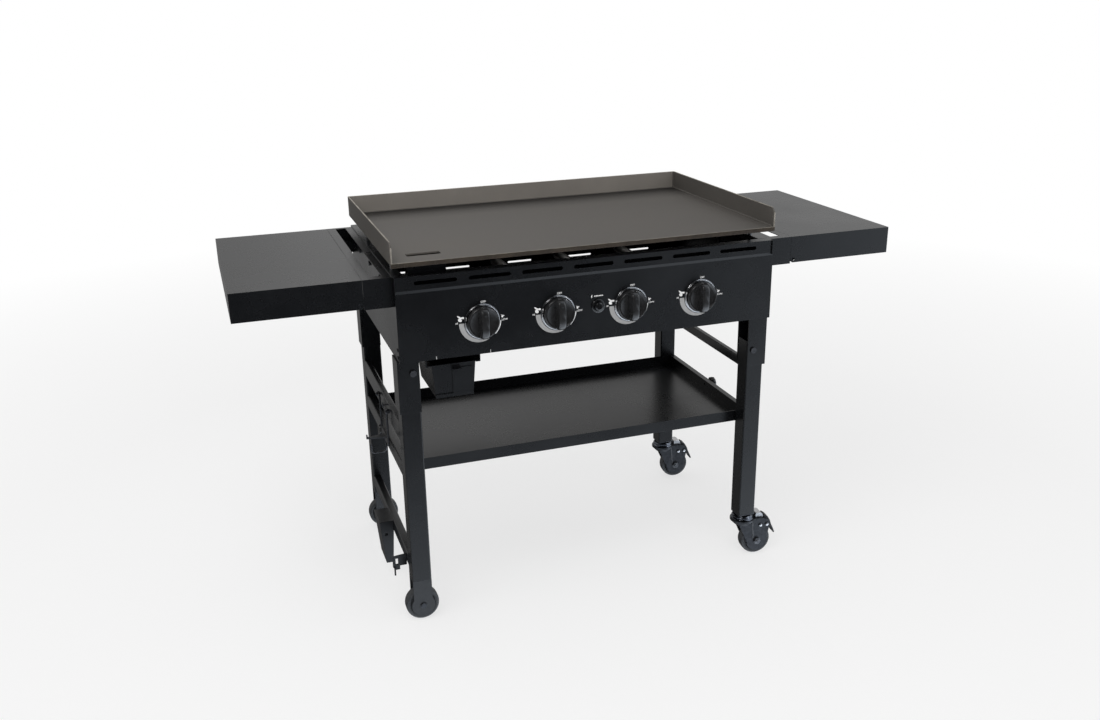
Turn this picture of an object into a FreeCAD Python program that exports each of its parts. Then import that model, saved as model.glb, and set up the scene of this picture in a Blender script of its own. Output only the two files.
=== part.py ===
import FreeCAD, Part
import math
import os

os.makedirs("parts", exist_ok=True)
V = FreeCAD.Vector

# Outdoor gas griddle station, in millimetres.
# +X is the cook's right, +Y points away from the cook, +Z is up, and Z = 0 is the ground.
# The origin is the middle of the station's footprint, so X = 0 is the mirror plane of the body.

# Griddle plate
griddle_width = 914.0
griddle_depth = 555.0
plate_thickness = 5.0
splash_height = 45.0
splash_thickness = 4.0
splash_chamfer = 12.0
front_lip = 10.5
cooking_height = 884.0
drain_length = 75.0
drain_width = 24.0
drain_side_inset = 46.0
drain_front_inset = 54.0
griddle_front_overhang = 4.0
griddle_side_overhang = 4.0
foot_height = 27.0
foot_radius = 5.0
foot_nut_radius = 9.0
foot_nut_height = 7.0
foot_inset = 18.0
foot_front_inset = 85.0
foot_rear_inset = 162.0

# Firebox and control panel
sheet = 1.5
firebox_depth = 572.0
firebox_height = 190.0
vent_band_height = 30.0
panel_step = 5.0
panel_wing = 24.0
rim_width = 24.0
rail_overlap = 16.0
front_slot_count = 7
front_slot_pitch = 121.0
front_slot_length = 95.0
front_slot_height = 9.0
rear_slot_count = 5
rear_slot_length = 68.0
rear_slot_height = 5.0
rear_slot_drop = 140.0
shield_setback = 48.0
shield_clear_top = 20.0
burner_count = 4
burner_pitch = 176.5
knob_rise = 75.0

# Gas train
stem_radius = 3.0
stem_flat = 1.8
stem_outside = 16.5
plug_radius = 6.0
plug_front = 17.0
plug_length = 12.0
gas_way = 1.5
valve_width = 26.0
valve_height = 28.0
valve_front = 14.0
valve_rear = 34.0
valve_neck_radius = 9.0
jet_radius = 5.0
jet_length = 8.0
inlet_boss_radius = 6.0
inlet_boss_length = 6.0
pipe_radius = 10.0
pipe_wall = 2.5
pipe_setback = 24.0
pipe_drop = 28.0
pipe_end = 20.0
inlet_x = -226.0
tee_drop = 14.0
fitting_hex = 22.0
fitting_hex_height = 12.0
nipple_radius = 7.9
nipple_length = 16.0
burner_radius = 14.0
burner_wall = 1.5
bell_radius = 17.0
bell_length = 9.0
burner_front = 38.0
burner_rear_gap = 70.0
port_radius = 1.6
port_pitch = 26.0
rest_setback = 84.0
rest_below_axis = 8.0

# Knobs and igniter
knob_radius = 36.0
knob_reach = 34.0
knob_back = 5.0
knob_skirt = 16.0
knob_dish = 13.5
knob_travel = 3.0
grip_foot_width = 25.0
grip_top_width = 16.0
bezel_radius = 40.5
bezel_height = 6.0
bezel_wall = 3.5
bezel_base = 1.0
igniter_offset = 8.0
igniter_rise = 80.0
igniter_barrel_radius = 13.0
igniter_length = 28.0
igniter_flange_radius = 16.5
igniter_flange = 4.0
button_radius = 10.0
button_reach = 11.0
button_depth = 8.0
button_travel = 4.0
electrode_radius = 4.0
electrode_offset = 24.0
electrode_rise = 15.0
electrode_length = 50.0
lead_radius = 1.5
lead_bend = 4.0
lead_spread = 5.0
lead_rise = 33.0

# Leg frames
leg_size = 45.0
leg_wall = 1.6
leg_side_inset = 0.5
leg_front_inset = 20.0
leg_rear_inset = 10.0
pivot_drop_left = 31.0
pivot_drop_right = 85.0
pivot_inset = 8.0
socket_depth = 125.0
socket_sheet = 3.0
socket_gap = 1.0
bolt_radius = 4.0
bolt_tail = 8.0
bolt_head_radius = 7.5
bolt_head_height = 4.0
rail_width = 15.0
rail_wall = 1.6
shelf_rail_height = 32.0
shelf_rail_top = 398.0
left_upper_rail_top = 498.0
left_upper_rail_height = 44.0
right_upper_rail_top = 527.0
right_upper_rail_height = 24.0
lower_rail_top = 160.0
lower_rail_height = 30.0
lower_rail_width = 20.0

# Bottom shelf
tray_rim = 28.0
tray_side_gap = 0.3
tray_end_gap = 3.0
tray_lip = 12.0
thumb_radius = 17.0
thumb_length = 12.0
thumb_shank = 3.0
thumb_drop = 10.0
thumb_behind_hanger = 6.0

# Casters
wheel_radius = 40.0
wheel_width = 28.0
axle_radius = 5.0
axle_head_radius = 7.5
axle_head_height = 3.0
axle_nut_radius = 9.0
axle_nut_height = 5.0
hub_radius = 11.0
fork_inner_gap = 3.5
fork_sheet = 3.0
fork_end_radius = 28.0
caster_plate = 3.0
fixed_caster_height = 108.0
swivel_caster_height = 122.0
swivel_trail = 35.0
swivel_rest_angle = -5.0
kingpin_radius = 6.0
race_radius = 29.0
crown_radius = 32.0
fork_crown = 5.0
crown_length = 50.0
bowl_radius = 20.0
bowl_height = 12.0
cheek_back = 20.0
crown_height = 99.0
pedal_pivot_reach = 27.0
pedal_pivot_rise = 44.5
rivet_spacing = 18.0
pedal_pin_radius = 3.0
pedal_cap = 2.5
pedal_cap_height = 2.0
pedal_width = 26.0
pedal_travel = 15.0

# Side shelves
overall_width = 1580.0
shelf_depth = 533.0
shelf_height = 64.0
shelf_drop = 2.0
shelf_front_inset = 24.5
bracket_width = 63.0
bracket_extra = 2.0
seam_gap = 0.5
hinge_inset = 8.0
hinge_pin_radius = 4.0
ear_sheet = 3.0
ear_inset = 8.0
long_slot_width = 25.0
long_slot_inset = 18.0
long_slot_end = 12.5
bracket_bolt_radius = 3.0
bracket_bolt_head = 6.0
bracket_bolt_count = 3

# Grease collection
grease_top_width = 100.0
grease_draft = 7.0
grease_depth = 160.0
grease_height = 77.0
grease_flange = 10.0
grease_centre = 121.0
grease_setback = 8.0
runner_height = 20.0
runner_lip = 9.0
runner_sheet = 2.0
chute_margin = 7.0
chute_top_gap = 5.0
chute_outlet_width = 50.0
chute_outlet_depth = 30.0
chute_outlet_below = 7.0

# Gas bottle hanger
hanger_wire = 2.5
hanger_span = 121.0
hanger_setback = 164.0
hanger_inset = 8.0
hanger_drop = 97.0
loop_drop = 31.0
loop_reach = 36.0
hanger_stand_off = 7.0
hook_reach = 46.0
eye_wire = 2.0
eye_offset = 6.0
stop_offset = 28.0
rest_pad_depth = 77.0
rest_pad_setback = 243.0
rest_pad_reach_top = 35.0
rest_pad_reach_foot = 24.0
rest_pad_height = 117.0
rest_pad_sheet = 2.5
strap_setback = 84.0
strap_reach = 34.0
strap_height = 40.0
strap_root = 30.0
strap_sheet = 3.0
strap_slot_width = 6.0
strap_slot_height = 15.0
strap_pin_radius = 2.0
strap_pin_length = 21.0

# Clearances
running_fit = 0.05
moving_gap = 0.3
bolt_gap = 0.3

# Heights and depths worked out from the sizes above
plate_underside = cooking_height - plate_thickness
rim_z = plate_underside - foot_height
box_bottom = rim_z - firebox_height
box_half = griddle_width / 2 - griddle_side_overhang
caster_turn = math.radians(swivel_rest_angle)
fork_inner = wheel_width / 2 + fork_inner_gap
fork_outer = fork_inner + fork_sheet
axle_reach = math.sin(caster_turn) * swivel_trail + math.cos(caster_turn) * (fork_outer + axle_nut_height)
pin_reach = (math.sin(caster_turn) * (swivel_trail + pedal_pivot_reach + pedal_pin_radius + pedal_cap)
             + math.cos(caster_turn) * (fork_outer + pedal_cap_height))
rear_reach = max(0.0, max(crown_radius, axle_reach, pin_reach) - leg_rear_inset - leg_size / 2)
panel_front = (knob_reach - rear_reach - firebox_depth) / 2
box_rear = panel_front + firebox_depth
band_bottom = rim_z - vent_band_height
shield_y = panel_front + shield_setback
griddle_front = panel_front + griddle_front_overhang
griddle_rear = griddle_front + griddle_depth
knob_z = box_bottom + knob_rise
igniter_z = box_bottom + igniter_rise
pipe_y = panel_front + pipe_setback
pipe_z = knob_z - pipe_drop
burner_xs = [(i - (burner_count - 1) / 2) * burner_pitch for i in range(burner_count)]
leg_x = box_half - leg_side_inset - leg_size / 2
leg_front_y = panel_front + leg_front_inset + leg_size / 2
leg_rear_y = box_rear - leg_rear_inset - leg_size / 2
leg_outer = leg_x + leg_size / 2
rail_front = leg_front_y + leg_size / 2
rail_rear = leg_rear_y - leg_size / 2
shelf_top = rim_z - shelf_drop
shelf_front = panel_front + shelf_front_inset
shelf_rear = shelf_front + shelf_depth
seam_x = box_half + bracket_width
grease_x = -(box_half - grease_centre)
grease_front = panel_front + grease_setback
grease_rear = grease_front + grease_depth
runner_top = box_bottom
grease_top = runner_top - runner_height + runner_sheet + sheet
drain_x0 = -griddle_width / 2 + drain_side_inset
drain_y0 = griddle_front + drain_front_inset
thumb_z = shelf_rail_top - thumb_drop
hanger_x = -(leg_outer + hanger_stand_off)
hanger_z = left_upper_rail_top - hanger_inset
hanger_y0 = panel_front + hanger_setback
hanger_y1 = hanger_y0 + hanger_span
thumb_y = hanger_y1 + thumb_behind_hanger


def box(x0, x1, y0, y1, z0, z1):
    return Part.makeBox(x1 - x0, y1 - y0, z1 - z0, V(x0, y0, z0))


def rod_x(x0, x1, y, z, radius):
    return Part.makeCylinder(radius, x1 - x0, V(x0, y, z), V(1, 0, 0))


def rod_y(y0, y1, x, z, radius):
    return Part.makeCylinder(radius, y1 - y0, V(x, y0, z), V(0, 1, 0))


def rod_z(z0, z1, x, y, radius):
    return Part.makeCylinder(radius, z1 - z0, V(x, y, z0), V(0, 0, 1))


def hex_prism(centre, axis, across_corners, length):
    # a hexagon nut or head, with its axis along a unit direction
    side = V(0, 0, 1) if abs(axis.z) < 0.5 else V(1, 0, 0)
    other = axis.cross(side)
    turns = [math.radians(60 * i) for i in range(7)]
    corners = [centre + side * (across_corners * math.cos(t)) + other * (across_corners * math.sin(t))
               for t in turns]
    return Part.Face(Part.makePolygon(corners)).extrude(axis * length)


def prism_x(points, x0, x1):
    # a (y, z) outline carried along X
    wire = Part.makePolygon([V(x0, y, z) for y, z in points + points[:1]])
    return Part.Face(wire).extrude(V(x1 - x0, 0, 0))


def prism_y(points, y0, y1):
    # an (x, z) outline carried along Y
    wire = Part.makePolygon([V(x, y0, z) for x, z in points + points[:1]])
    return Part.Face(wire).extrude(V(0, y1 - y0, 0))


def revolve_y(profile, x, z):
    # a closed (radius, y) profile turned about an axis along Y
    wire = Part.makePolygon([V(x + r, y, z) for r, y in profile + profile[:1]])
    return Part.Face(wire).revolve(V(x, 0, z), V(0, 1, 0), 360)


def rectangle(x0, x1, y0, y1, z):
    return Part.makePolygon([V(x0, y0, z), V(x1, y0, z), V(x1, y1, z), V(x0, y1, z), V(x0, y0, z)])


def funnel(top, bottom, z_top, z_bottom):
    # a straight-sided solid between two level rectangles, each (x0, x1, y0, y1)
    return Part.makeLoft([rectangle(*bottom, z_bottom), rectangle(*top, z_top)], True, True)


def shrink(rect, wall):
    x0, x1, y0, y1 = rect
    return (x0 + wall, x1 - wall, y0 + wall, y1 - wall)


def slot_cut(x, z, length, height, y0, y1):
    # a round-ended slot that lies along X and is cut through along Y
    half = length / 2 - height / 2
    middle = box(x - half, x + half, y0, y1, z - height / 2, z + height / 2)
    ends = [rod_y(y0, y1, x + side * half, z, height / 2) for side in (-1, 1)]
    return middle.fuse(ends)


def tube_box(x0, x1, y0, y1, z0, z1, wall, along):
    # a rectangular tube that is open at both ends
    outer = box(x0, x1, y0, y1, z0, z1)
    grow = {"y": (wall, 0), "z": (wall, wall)}[along]
    dx = wall
    dy = grow[1]
    dz = wall if along == "y" else 0
    return outer.cut(box(x0 + dx, x1 - dx, y0 + dy, y1 - dy, z0 + dz, z1 - dz))


def round_wire(points, bend):
    # straight runs joined by arcs of one radius
    edges = []
    start = points[0]
    for before, corner, after in zip(points, points[1:], points[2:]):
        back = (before - corner).normalize()
        ahead = (after - corner).normalize()
        half = math.acos(max(-1.0, min(1.0, back.dot(ahead)))) / 2
        trim = bend / math.tan(half)
        middle = (back + ahead).normalize()
        enter = corner + back * trim
        leave = corner + ahead * trim
        centre = corner + middle * (bend / math.sin(half))
        edges.append(Part.LineSegment(start, enter).toShape())
        edges.append(Part.Arc(enter, centre - middle * bend, leave).toShape())
        start = leave
    edges.append(Part.LineSegment(start, points[-1]).toShape())
    return Part.Wire(edges)


def bent_rod(points, radius, bend):
    path = round_wire(points, bend)
    direction = (points[1] - points[0]).normalize()
    section = Part.Wire(Part.makeCircle(radius, points[0], direction))
    return path.makePipeShell([section], True, False)


def mirrored(shape):
    return shape.mirror(V(0, 0, 0), V(1, 0, 0))


def save(name, solids):
    shape = solids[0] if len(solids) == 1 else Part.makeCompound(solids)
    shape.exportStep("parts/%s.step" % name)
    print("%-22s solids %d volume %.0f" % (name, len(shape.Solids), shape.Volume))


def griddle_plate():
    half = griddle_width / 2
    top = cooking_height + splash_height
    plate = box(-half, half, griddle_front, griddle_rear, plate_underside, cooking_height)
    lip = box(-half, half, griddle_front, griddle_front + plate_thickness, cooking_height - front_lip,
              plate_underside)
    rear = box(-half, half, griddle_rear - splash_thickness, griddle_rear, cooking_height, top)
    side = [(griddle_front, cooking_height), (griddle_front, top - splash_chamfer),
            (griddle_front + splash_chamfer, top),
            (griddle_rear - splash_thickness, top), (griddle_rear - splash_thickness, cooking_height)]
    right = prism_x(side, half - splash_thickness, half)
    body = plate.fuse([lip, rear, right, mirrored(right)]).removeSplitter()
    drain = box(drain_x0, drain_x0 + drain_length, drain_y0, drain_y0 + drain_width, plate_underside - 1,
                cooking_height + 1)
    return body.cut(drain)


def griddle_feet():
    feet = []
    for y in (griddle_front + foot_front_inset, griddle_rear - foot_rear_inset):
        for side in (-1, 1):
            x = side * (griddle_width / 2 - foot_inset)
            stud = rod_z(rim_z, plate_underside, x, y, foot_radius)
            nut = hex_prism(V(x, y, plate_underside - foot_nut_height), V(0, 0, 1), foot_nut_radius,
                            foot_nut_height)
            feet.append(stud.fuse(nut))
    return feet


def chute_section(z):
    # the outside of the grease chute at a height, as (x0, x1, y0, y1)
    z_top = plate_underside - chute_top_gap
    z_foot = box_bottom - chute_outlet_below
    top = (drain_x0 - chute_margin, drain_x0 + drain_length + chute_margin,
           shield_y + sheet, drain_y0 + drain_width + chute_margin)
    foot = (grease_x - chute_outlet_width / 2 - 15.0, grease_x + chute_outlet_width / 2 - 15.0,
            shield_y + sheet, shield_y + sheet + chute_outlet_depth)
    share = (z - z_foot) / (z_top - z_foot)
    return tuple(b + (a - b) * share for a, b in zip(top, foot))


def grease_chute():
    z_top = plate_underside - chute_top_gap
    z_foot = box_bottom - chute_outlet_below
    top = chute_section(z_top)
    foot = chute_section(z_foot)
    outer = funnel(top, foot, z_top, z_foot)
    return outer.cut(funnel(shrink(top, sheet), shrink(foot, sheet), z_top + 0.01, z_foot - 0.01))


def firebox_body():
    front = panel_front + sheet
    side = box(box_half - sheet, box_half, front, box_rear, box_bottom, rim_z)
    rear = box(-box_half, box_half, box_rear - sheet, box_rear, box_bottom, rim_z)
    floor = box(-box_half, box_half, front, box_rear, box_bottom, box_bottom + sheet)
    side_rim = box(box_half - rim_width, box_half, front + panel_step + rim_width, box_rear, rim_z - sheet,
                   rim_z)
    rear_rim = box(-box_half, box_half, box_rear - rim_width, box_rear, rim_z - sheet, rim_z)
    body = floor.fuse([side, mirrored(side), rear, side_rim, mirrored(side_rim), rear_rim]).removeSplitter()
    slot_z = rim_z - rear_slot_drop
    for i in range(rear_slot_count):
        x = (i - (rear_slot_count - 1) / 2) * burner_pitch
        body = body.cut(slot_cut(x, slot_z, rear_slot_length, rear_slot_height, box_rear - 2 * sheet,
                                 box_rear + sheet))
    service_half = leg_x - leg_size / 2 - 12.0
    service = box(-service_half, service_half, front + 6.0, shield_y - 4.0, box_bottom - sheet,
                  box_bottom + 2 * sheet)
    x0, x1, y0, y1 = chute_section(box_bottom)
    outlet = box(x0 - 1.0, x1 + 1.0, y0 + 0.0, y1 + 1.0, box_bottom - sheet, box_bottom + 2 * sheet)
    body = body.cut([service, outlet])
    holes = [rod_x(-box_half - sheet, -box_half + 2 * sheet, y, z, r) for y, z, r in side_holes()]
    holes += [rod_x(box_half - 2 * sheet, box_half + sheet, y, z, r) for y, z, r in side_holes()]
    return body.cut(holes)


def bracket_bolt_places():
    step = shelf_depth / (bracket_bolt_count + 1)
    return [(shelf_front + step * (i + 1), shelf_top - shelf_height / 2) for i in range(bracket_bolt_count)]


def panel_screw_places():
    return [(panel_front + 12.0, box_bottom + 10.0), (panel_front + 12.0, box_bottom + 28.0)]


def side_holes():
    bolts = [(y, z, bracket_bolt_radius + bolt_gap) for y, z in bracket_bolt_places()]
    screws = [(y, z, 2.0 + bolt_gap) for y, z in panel_screw_places()]
    return bolts + screws


def vent_rail():
    half = box_half - sheet
    front = panel_front + panel_step
    face = box(-half, half, front, front + sheet, band_bottom - rail_overlap, rim_z)
    top = box(-half, half, front, front + rim_width, rim_z - sheet, rim_z)
    body = face.fuse(top).removeSplitter()
    slot_z = (rim_z + band_bottom) / 2
    for i in range(front_slot_count):
        x = (i - (front_slot_count - 1) / 2) * front_slot_pitch
        body = body.cut(slot_cut(x, slot_z, front_slot_length, front_slot_height, front - sheet,
                                 front + 2 * sheet))
    return body


def control_panel():
    # a flat face whose top edge slopes back to the vent band
    f = panel_front
    top = band_bottom
    profile = [(f, box_bottom), (f, top - panel_step), (f + panel_step, top), (f + panel_step, top - 1.4 * sheet),
               (f + sheet, top - panel_step - 0.4 * sheet), (f + sheet, box_bottom)]
    # the slope reaches back only between the firebox sides
    room = box(box_half - sheet, box_half, f + sheet, f + 2 * panel_step, top - 2 * panel_step, top + 1)
    face = prism_x(profile, -box_half, box_half).cut([room, mirrored(room)])
    wing = box(box_half - 2 * sheet, box_half - sheet, f + sheet, f + panel_wing,
               box_bottom + sheet, band_bottom - rail_overlap - 2.0)
    wing = wing.cut([rod_x(box_half - 3 * sheet, box_half, y, z, 2.0 + bolt_gap)
                     for y, z in panel_screw_places()])
    body = face.fuse([wing, mirrored(wing)]).removeSplitter()
    holes = [rod_y(f - 1, f + 2 * sheet, x, knob_z, 2 * stem_radius) for x in burner_xs]
    holes.append(rod_y(f - 1, f + 2 * sheet, igniter_offset, igniter_z, igniter_barrel_radius + bolt_gap))
    return body.cut(holes)


def heat_shield():
    half = box_half - sheet
    body = box(-half, half, shield_y, shield_y + sheet, box_bottom + sheet, rim_z - shield_clear_top)
    holes = [rod_y(shield_y - 1, shield_y + 2 * sheet, x, knob_z, burner_radius + bolt_gap)
             for x in burner_xs]
    holes += [rod_y(shield_y - 1, shield_y + 2 * sheet, x + electrode_offset, knob_z + electrode_rise,
                    electrode_radius + bolt_gap) for x in burner_xs]
    return body.cut(holes)


def burner(x):
    front = panel_front + burner_front
    rear = box_rear - burner_rear_gap
    inner = burner_radius - burner_wall
    bell = rod_y(front, front + bell_length, x, knob_z, bell_radius)
    tube = rod_y(front, rear, x, knob_z, burner_radius).fuse(bell)
    tube = tube.cut(rod_y(front - 1, rear - 2 * burner_wall, x, knob_z, inner))
    first = shield_y + 60.0
    count = int((rear - 20.0 - first) / port_pitch) + 1
    ports = [rod_x(x - bell_radius, x + bell_radius, first + i * port_pitch, knob_z + 4.0, port_radius)
             for i in range(count)]
    return tube.cut(ports)


def burner_rest():
    y = box_rear - rest_setback
    half = box_half - sheet
    plate = box(-half, half, y, y + sheet, box_bottom + sheet, knob_z - rest_below_axis)
    return plate.cut([rod_y(y - 1, y + 2 * sheet, x, knob_z, burner_radius + bolt_gap) for x in burner_xs])


def gas_valve(x):
    f = panel_front
    body = box(x - valve_width / 2, x + valve_width / 2, f + valve_front, f + valve_rear,
               knob_z - valve_height / 2, knob_z + valve_height / 2)
    neck = rod_y(f + sheet, f + valve_front, x, knob_z, valve_neck_radius)
    jet = rod_y(f + valve_rear, f + valve_rear + jet_length, x, knob_z, jet_radius)
    boss_top = knob_z - valve_height / 2
    boss = rod_z(boss_top - inlet_boss_length, boss_top, x, pipe_y, inlet_boss_radius)
    journal = rod_y(f, f + plug_front, x, knob_z, stem_radius + running_fit)
    room_end = f + plug_front + plug_length
    room = rod_y(f + plug_front - moving_gap, room_end + moving_gap, x, knob_z, plug_radius + moving_gap)
    outlet = rod_y(room_end, f + valve_rear + jet_length + 1.0, x, knob_z, gas_way)
    inlet = rod_z(boss_top - inlet_boss_length - 1.0, knob_z, x, pipe_y, 2 * gas_way)
    return body.fuse([neck, jet, boss]).cut([journal, room, outlet, inlet])


def manifold():
    # one pipe below the valves, closed at both ends, with a tee down to the gas fitting
    end = burner_xs[-1] + pipe_end
    inner = pipe_radius - pipe_wall
    outer = rod_x(-end, end, pipe_y, pipe_z, pipe_radius)
    body = outer.fuse(rod_z(pipe_z - tee_drop, pipe_z, inlet_x, pipe_y, pipe_radius))
    bore = rod_x(2 * pipe_wall - end, end - 2 * pipe_wall, pipe_y, pipe_z, inner)
    down = rod_z(pipe_z - tee_drop - 1.0, pipe_z, inlet_x, pipe_y, inner)
    seats = [rod_z(pipe_z, pipe_z + 2 * pipe_radius, x, pipe_y, inlet_boss_radius + running_fit)
             for x in burner_xs]
    return body.cut([bore, down] + seats)


def gas_inlet():
    x = inlet_x
    top = pipe_z - tee_drop
    hexagon = hex_prism(V(x, pipe_y, top - fitting_hex_height), V(0, 0, 1), fitting_hex / 2,
                        fitting_hex_height)
    nipple = rod_z(top - fitting_hex_height - nipple_length, top - fitting_hex_height, x, pipe_y,
                   nipple_radius)
    passage = rod_z(top - fitting_hex_height - nipple_length - 1, top + 1, x, pipe_y, nipple_radius / 2)
    return hexagon.fuse(nipple).cut(passage)


def valve_stem(x):
    # a flatted shaft with the round plug that turns inside the valve
    f = panel_front
    shaft = rod_y(f - stem_outside, f + plug_front, x, knob_z, stem_radius)
    plug = rod_y(f + plug_front, f + plug_front + plug_length, x, knob_z, plug_radius)
    flat = box(x + stem_flat, x + 2 * stem_radius, f - stem_outside - 1, f - knob_back, knob_z - stem_radius,
               knob_z + stem_radius)
    return shaft.cut(flat).fuse(plug)


def knob(x):
    # a dished round skirt with a tapered grip bar across it, bored for the stem
    f = panel_front
    r = knob_radius
    skirt = revolve_y([(0, f - knob_back), (r, f - knob_back), (r, f - knob_skirt + 3),
                       (r - 1.5, f - knob_skirt),
                       (r - 4, f - knob_skirt), (r - 7, f - knob_dish), (0, f - knob_dish)], x, knob_z)
    foot = grip_foot_width / 2
    top = grip_top_width / 2
    outline = [V(x - foot, f - knob_back - 4, 0), V(x - top, f - knob_reach + 2, 0),
               V(x - top + 3, f - knob_reach, 0),
               V(x + top - 3, f - knob_reach, 0), V(x + top, f - knob_reach + 2, 0),
               V(x + foot, f - knob_back - 4, 0)]
    outline = [p + V(0, 0, knob_z - r) for p in outline]
    bar = Part.Face(Part.makePolygon(outline + outline[:1])).extrude(V(0, 0, 2 * r))
    ends = revolve_y([(0, f - knob_back - 4), (r - 4, f - knob_back - 4), (r - 4, f - knob_skirt),
                      (r - 7, f - knob_reach + 4), (r - 11, f - knob_reach), (0, f - knob_reach)], x, knob_z)
    body = skirt.fuse(bar.common(ends)).removeSplitter()
    fit = stem_radius + running_fit
    bore_end = f - stem_outside - knob_travel - moving_gap
    bore = rod_y(bore_end, f, x, knob_z, fit)
    flat = box(x + stem_flat + running_fit, x + 2 * stem_radius, bore_end - 1,
               f - knob_back - knob_travel - moving_gap,
               knob_z - 2 * fit, knob_z + 2 * fit)
    return body.cut(bore.cut(flat))


def knob_bezel(x):
    f = panel_front
    inner = bezel_radius - bezel_wall
    return revolve_y([(valve_neck_radius, f), (bezel_radius, f), (bezel_radius, f - bezel_height + 1.5),
                      (bezel_radius - 1.5, f - bezel_height), (inner, f - bezel_height),
                      (inner, f - bezel_base), (valve_neck_radius, f - bezel_base)], x, knob_z)


def igniter_body():
    # a barrel through the panel, with a collar in front and a nut behind
    f = panel_front
    x = igniter_offset
    hole = button_radius + moving_gap
    collar = revolve_y([(hole, f), (igniter_flange_radius, f),
                        (igniter_flange_radius, f - igniter_flange + 1.5),
                        (igniter_flange_radius - 1.5, f - igniter_flange), (hole, f - igniter_flange)], x,
                       igniter_z)
    barrel = rod_y(f, f + igniter_length, x, igniter_z, igniter_barrel_radius)
    nut = hex_prism(V(x, f + sheet, igniter_z), V(0, 1, 0), igniter_flange_radius + 1.5, 6.0)
    bore = rod_y(f - igniter_flange - 1, f + button_depth + button_travel + 2.0, x, igniter_z, hole)
    return collar.fuse([barrel, nut]).removeSplitter().cut(bore)


def igniter_button():
    f = panel_front
    profile = [(0, f + button_depth), (button_radius, f + button_depth),
               (button_radius, f - button_reach + 3),
               (button_radius - 1, f - button_reach + 1.2), (button_radius - 3, f - button_reach),
               (0, f - button_reach)]
    return revolve_y(profile, igniter_offset, igniter_z)


def electrode(x):
    # a ceramic rod held in the heat shield by its collar, with a spark wire at its tip
    px = x + electrode_offset
    pz = knob_z + electrode_rise
    start = shield_y - 6.0
    stick = rod_y(start, start + electrode_length, px, pz, electrode_radius)
    collar = rod_y(shield_y - 3.0, shield_y, px, pz, electrode_radius + 3.0)
    wire = rod_y(start + electrode_length, start + electrode_length + 14.0, px, pz, 1.2)
    return stick.fuse([collar, wire]).removeSplitter()


def ignition_lead(x, order, side):
    # a wire from the igniter to one electrode: up, across at its own height, and down
    run_y = shield_y - 14.0
    run_z = knob_z + electrode_rise + lead_rise - order * 2 * lead_spread
    start_x = igniter_offset + side * lead_spread * (1.5 * order + 0.5 * (1 - order))
    end_x = x + electrode_offset
    end_z = knob_z + electrode_rise
    points = [V(start_x, panel_front + igniter_length, igniter_z), V(start_x, run_y, igniter_z),
              V(start_x, run_y, run_z), V(end_x, run_y, run_z), V(end_x, run_y, end_z),
              V(end_x, shield_y - 6.0, end_z)]
    return bent_rod(points, lead_radius, lead_bend)


def ignition_leads():
    leads = []
    for i, x in enumerate(burner_xs):
        side = -1 if x < 0 else 1
        order = 1 if abs(x) < burner_pitch else 0
        leads.append(ignition_lead(x, order, side))
    return leads


def leg(side, y, bottom, pivot_drop):
    # a square tube, open at its foot, with the two bolt holes of its socket
    x = side * leg_x
    half = leg_size / 2
    pivot_z = box_bottom - pivot_drop
    tube = tube_box(x - half, x + half, y - half, y + half, bottom, pivot_z + half, leg_wall, "z")
    hole = rod_y(y - leg_size, y + leg_size, x - side * pivot_inset, pivot_z, bolt_radius + bolt_gap)
    return tube.cut(hole)


def leg_socket(side, y, pivot_drop):
    # a channel under the firebox that is open towards the middle
    gap = leg_size / 2 + socket_gap
    out = gap + socket_sheet
    x_in = side * (leg_x - leg_size / 2)
    x_out = side * (leg_x + out)
    z0 = box_bottom - socket_depth
    outer = box(min(x_in, x_out), max(x_in, x_out), y - out, y + out, z0, box_bottom)
    inside = side * (leg_x + gap)
    far = side * (leg_x - leg_size)
    outer = outer.cut(box(min(inside, far), max(inside, far), y - gap, y + gap, z0 - 1,
                          box_bottom - socket_sheet))
    hole = rod_y(y - leg_size, y + leg_size, side * (leg_x - pivot_inset), box_bottom - pivot_drop,
                 bolt_radius + bolt_gap)
    return outer.cut(hole)


def leg_bolt(side, y, pivot_drop, facing):
    # a bolt across the socket with its head outwards, and the nut inside
    x = side * (leg_x - pivot_inset)
    z = box_bottom - pivot_drop
    out = leg_size / 2 + socket_gap + socket_sheet
    shank = rod_y(y - out, y + out, x, z, bolt_radius)
    tail_y = y + out if facing < 0 else y - out - bolt_tail
    tail = rod_y(tail_y, tail_y + bolt_tail, x, z, bolt_radius)
    head_y = y - out - bolt_head_height if facing < 0 else y + out
    head = rod_y(head_y, head_y + bolt_head_height, x, z, bolt_head_radius)
    nut_y = y + out if facing < 0 else y - out - 6.5
    nut = hex_prism(V(x, nut_y, z), V(0, 1, 0), bolt_head_radius, 6.5)
    return shank.fuse([tail, head, nut]).removeSplitter()


def side_rail(side, top, height, width):
    x0 = side * (leg_outer - width)
    x1 = side * leg_outer
    return tube_box(min(x0, x1), max(x0, x1), rail_front, rail_rear, top - height, top, rail_wall, "y")


def thumb_hole(side, x0, x1):
    low = min(side * x0, side * x1)
    return rod_x(low, low + abs(x1 - x0), thumb_y, thumb_z, thumb_shank + bolt_gap)


def shelf_rails():
    rails = []
    for side in (-1, 1):
        rail = side_rail(side, shelf_rail_top, shelf_rail_height, rail_width)
        rails.append(rail.cut(thumb_hole(side, leg_outer - rail_width - 1, leg_outer + 1)))
    return rails


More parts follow.
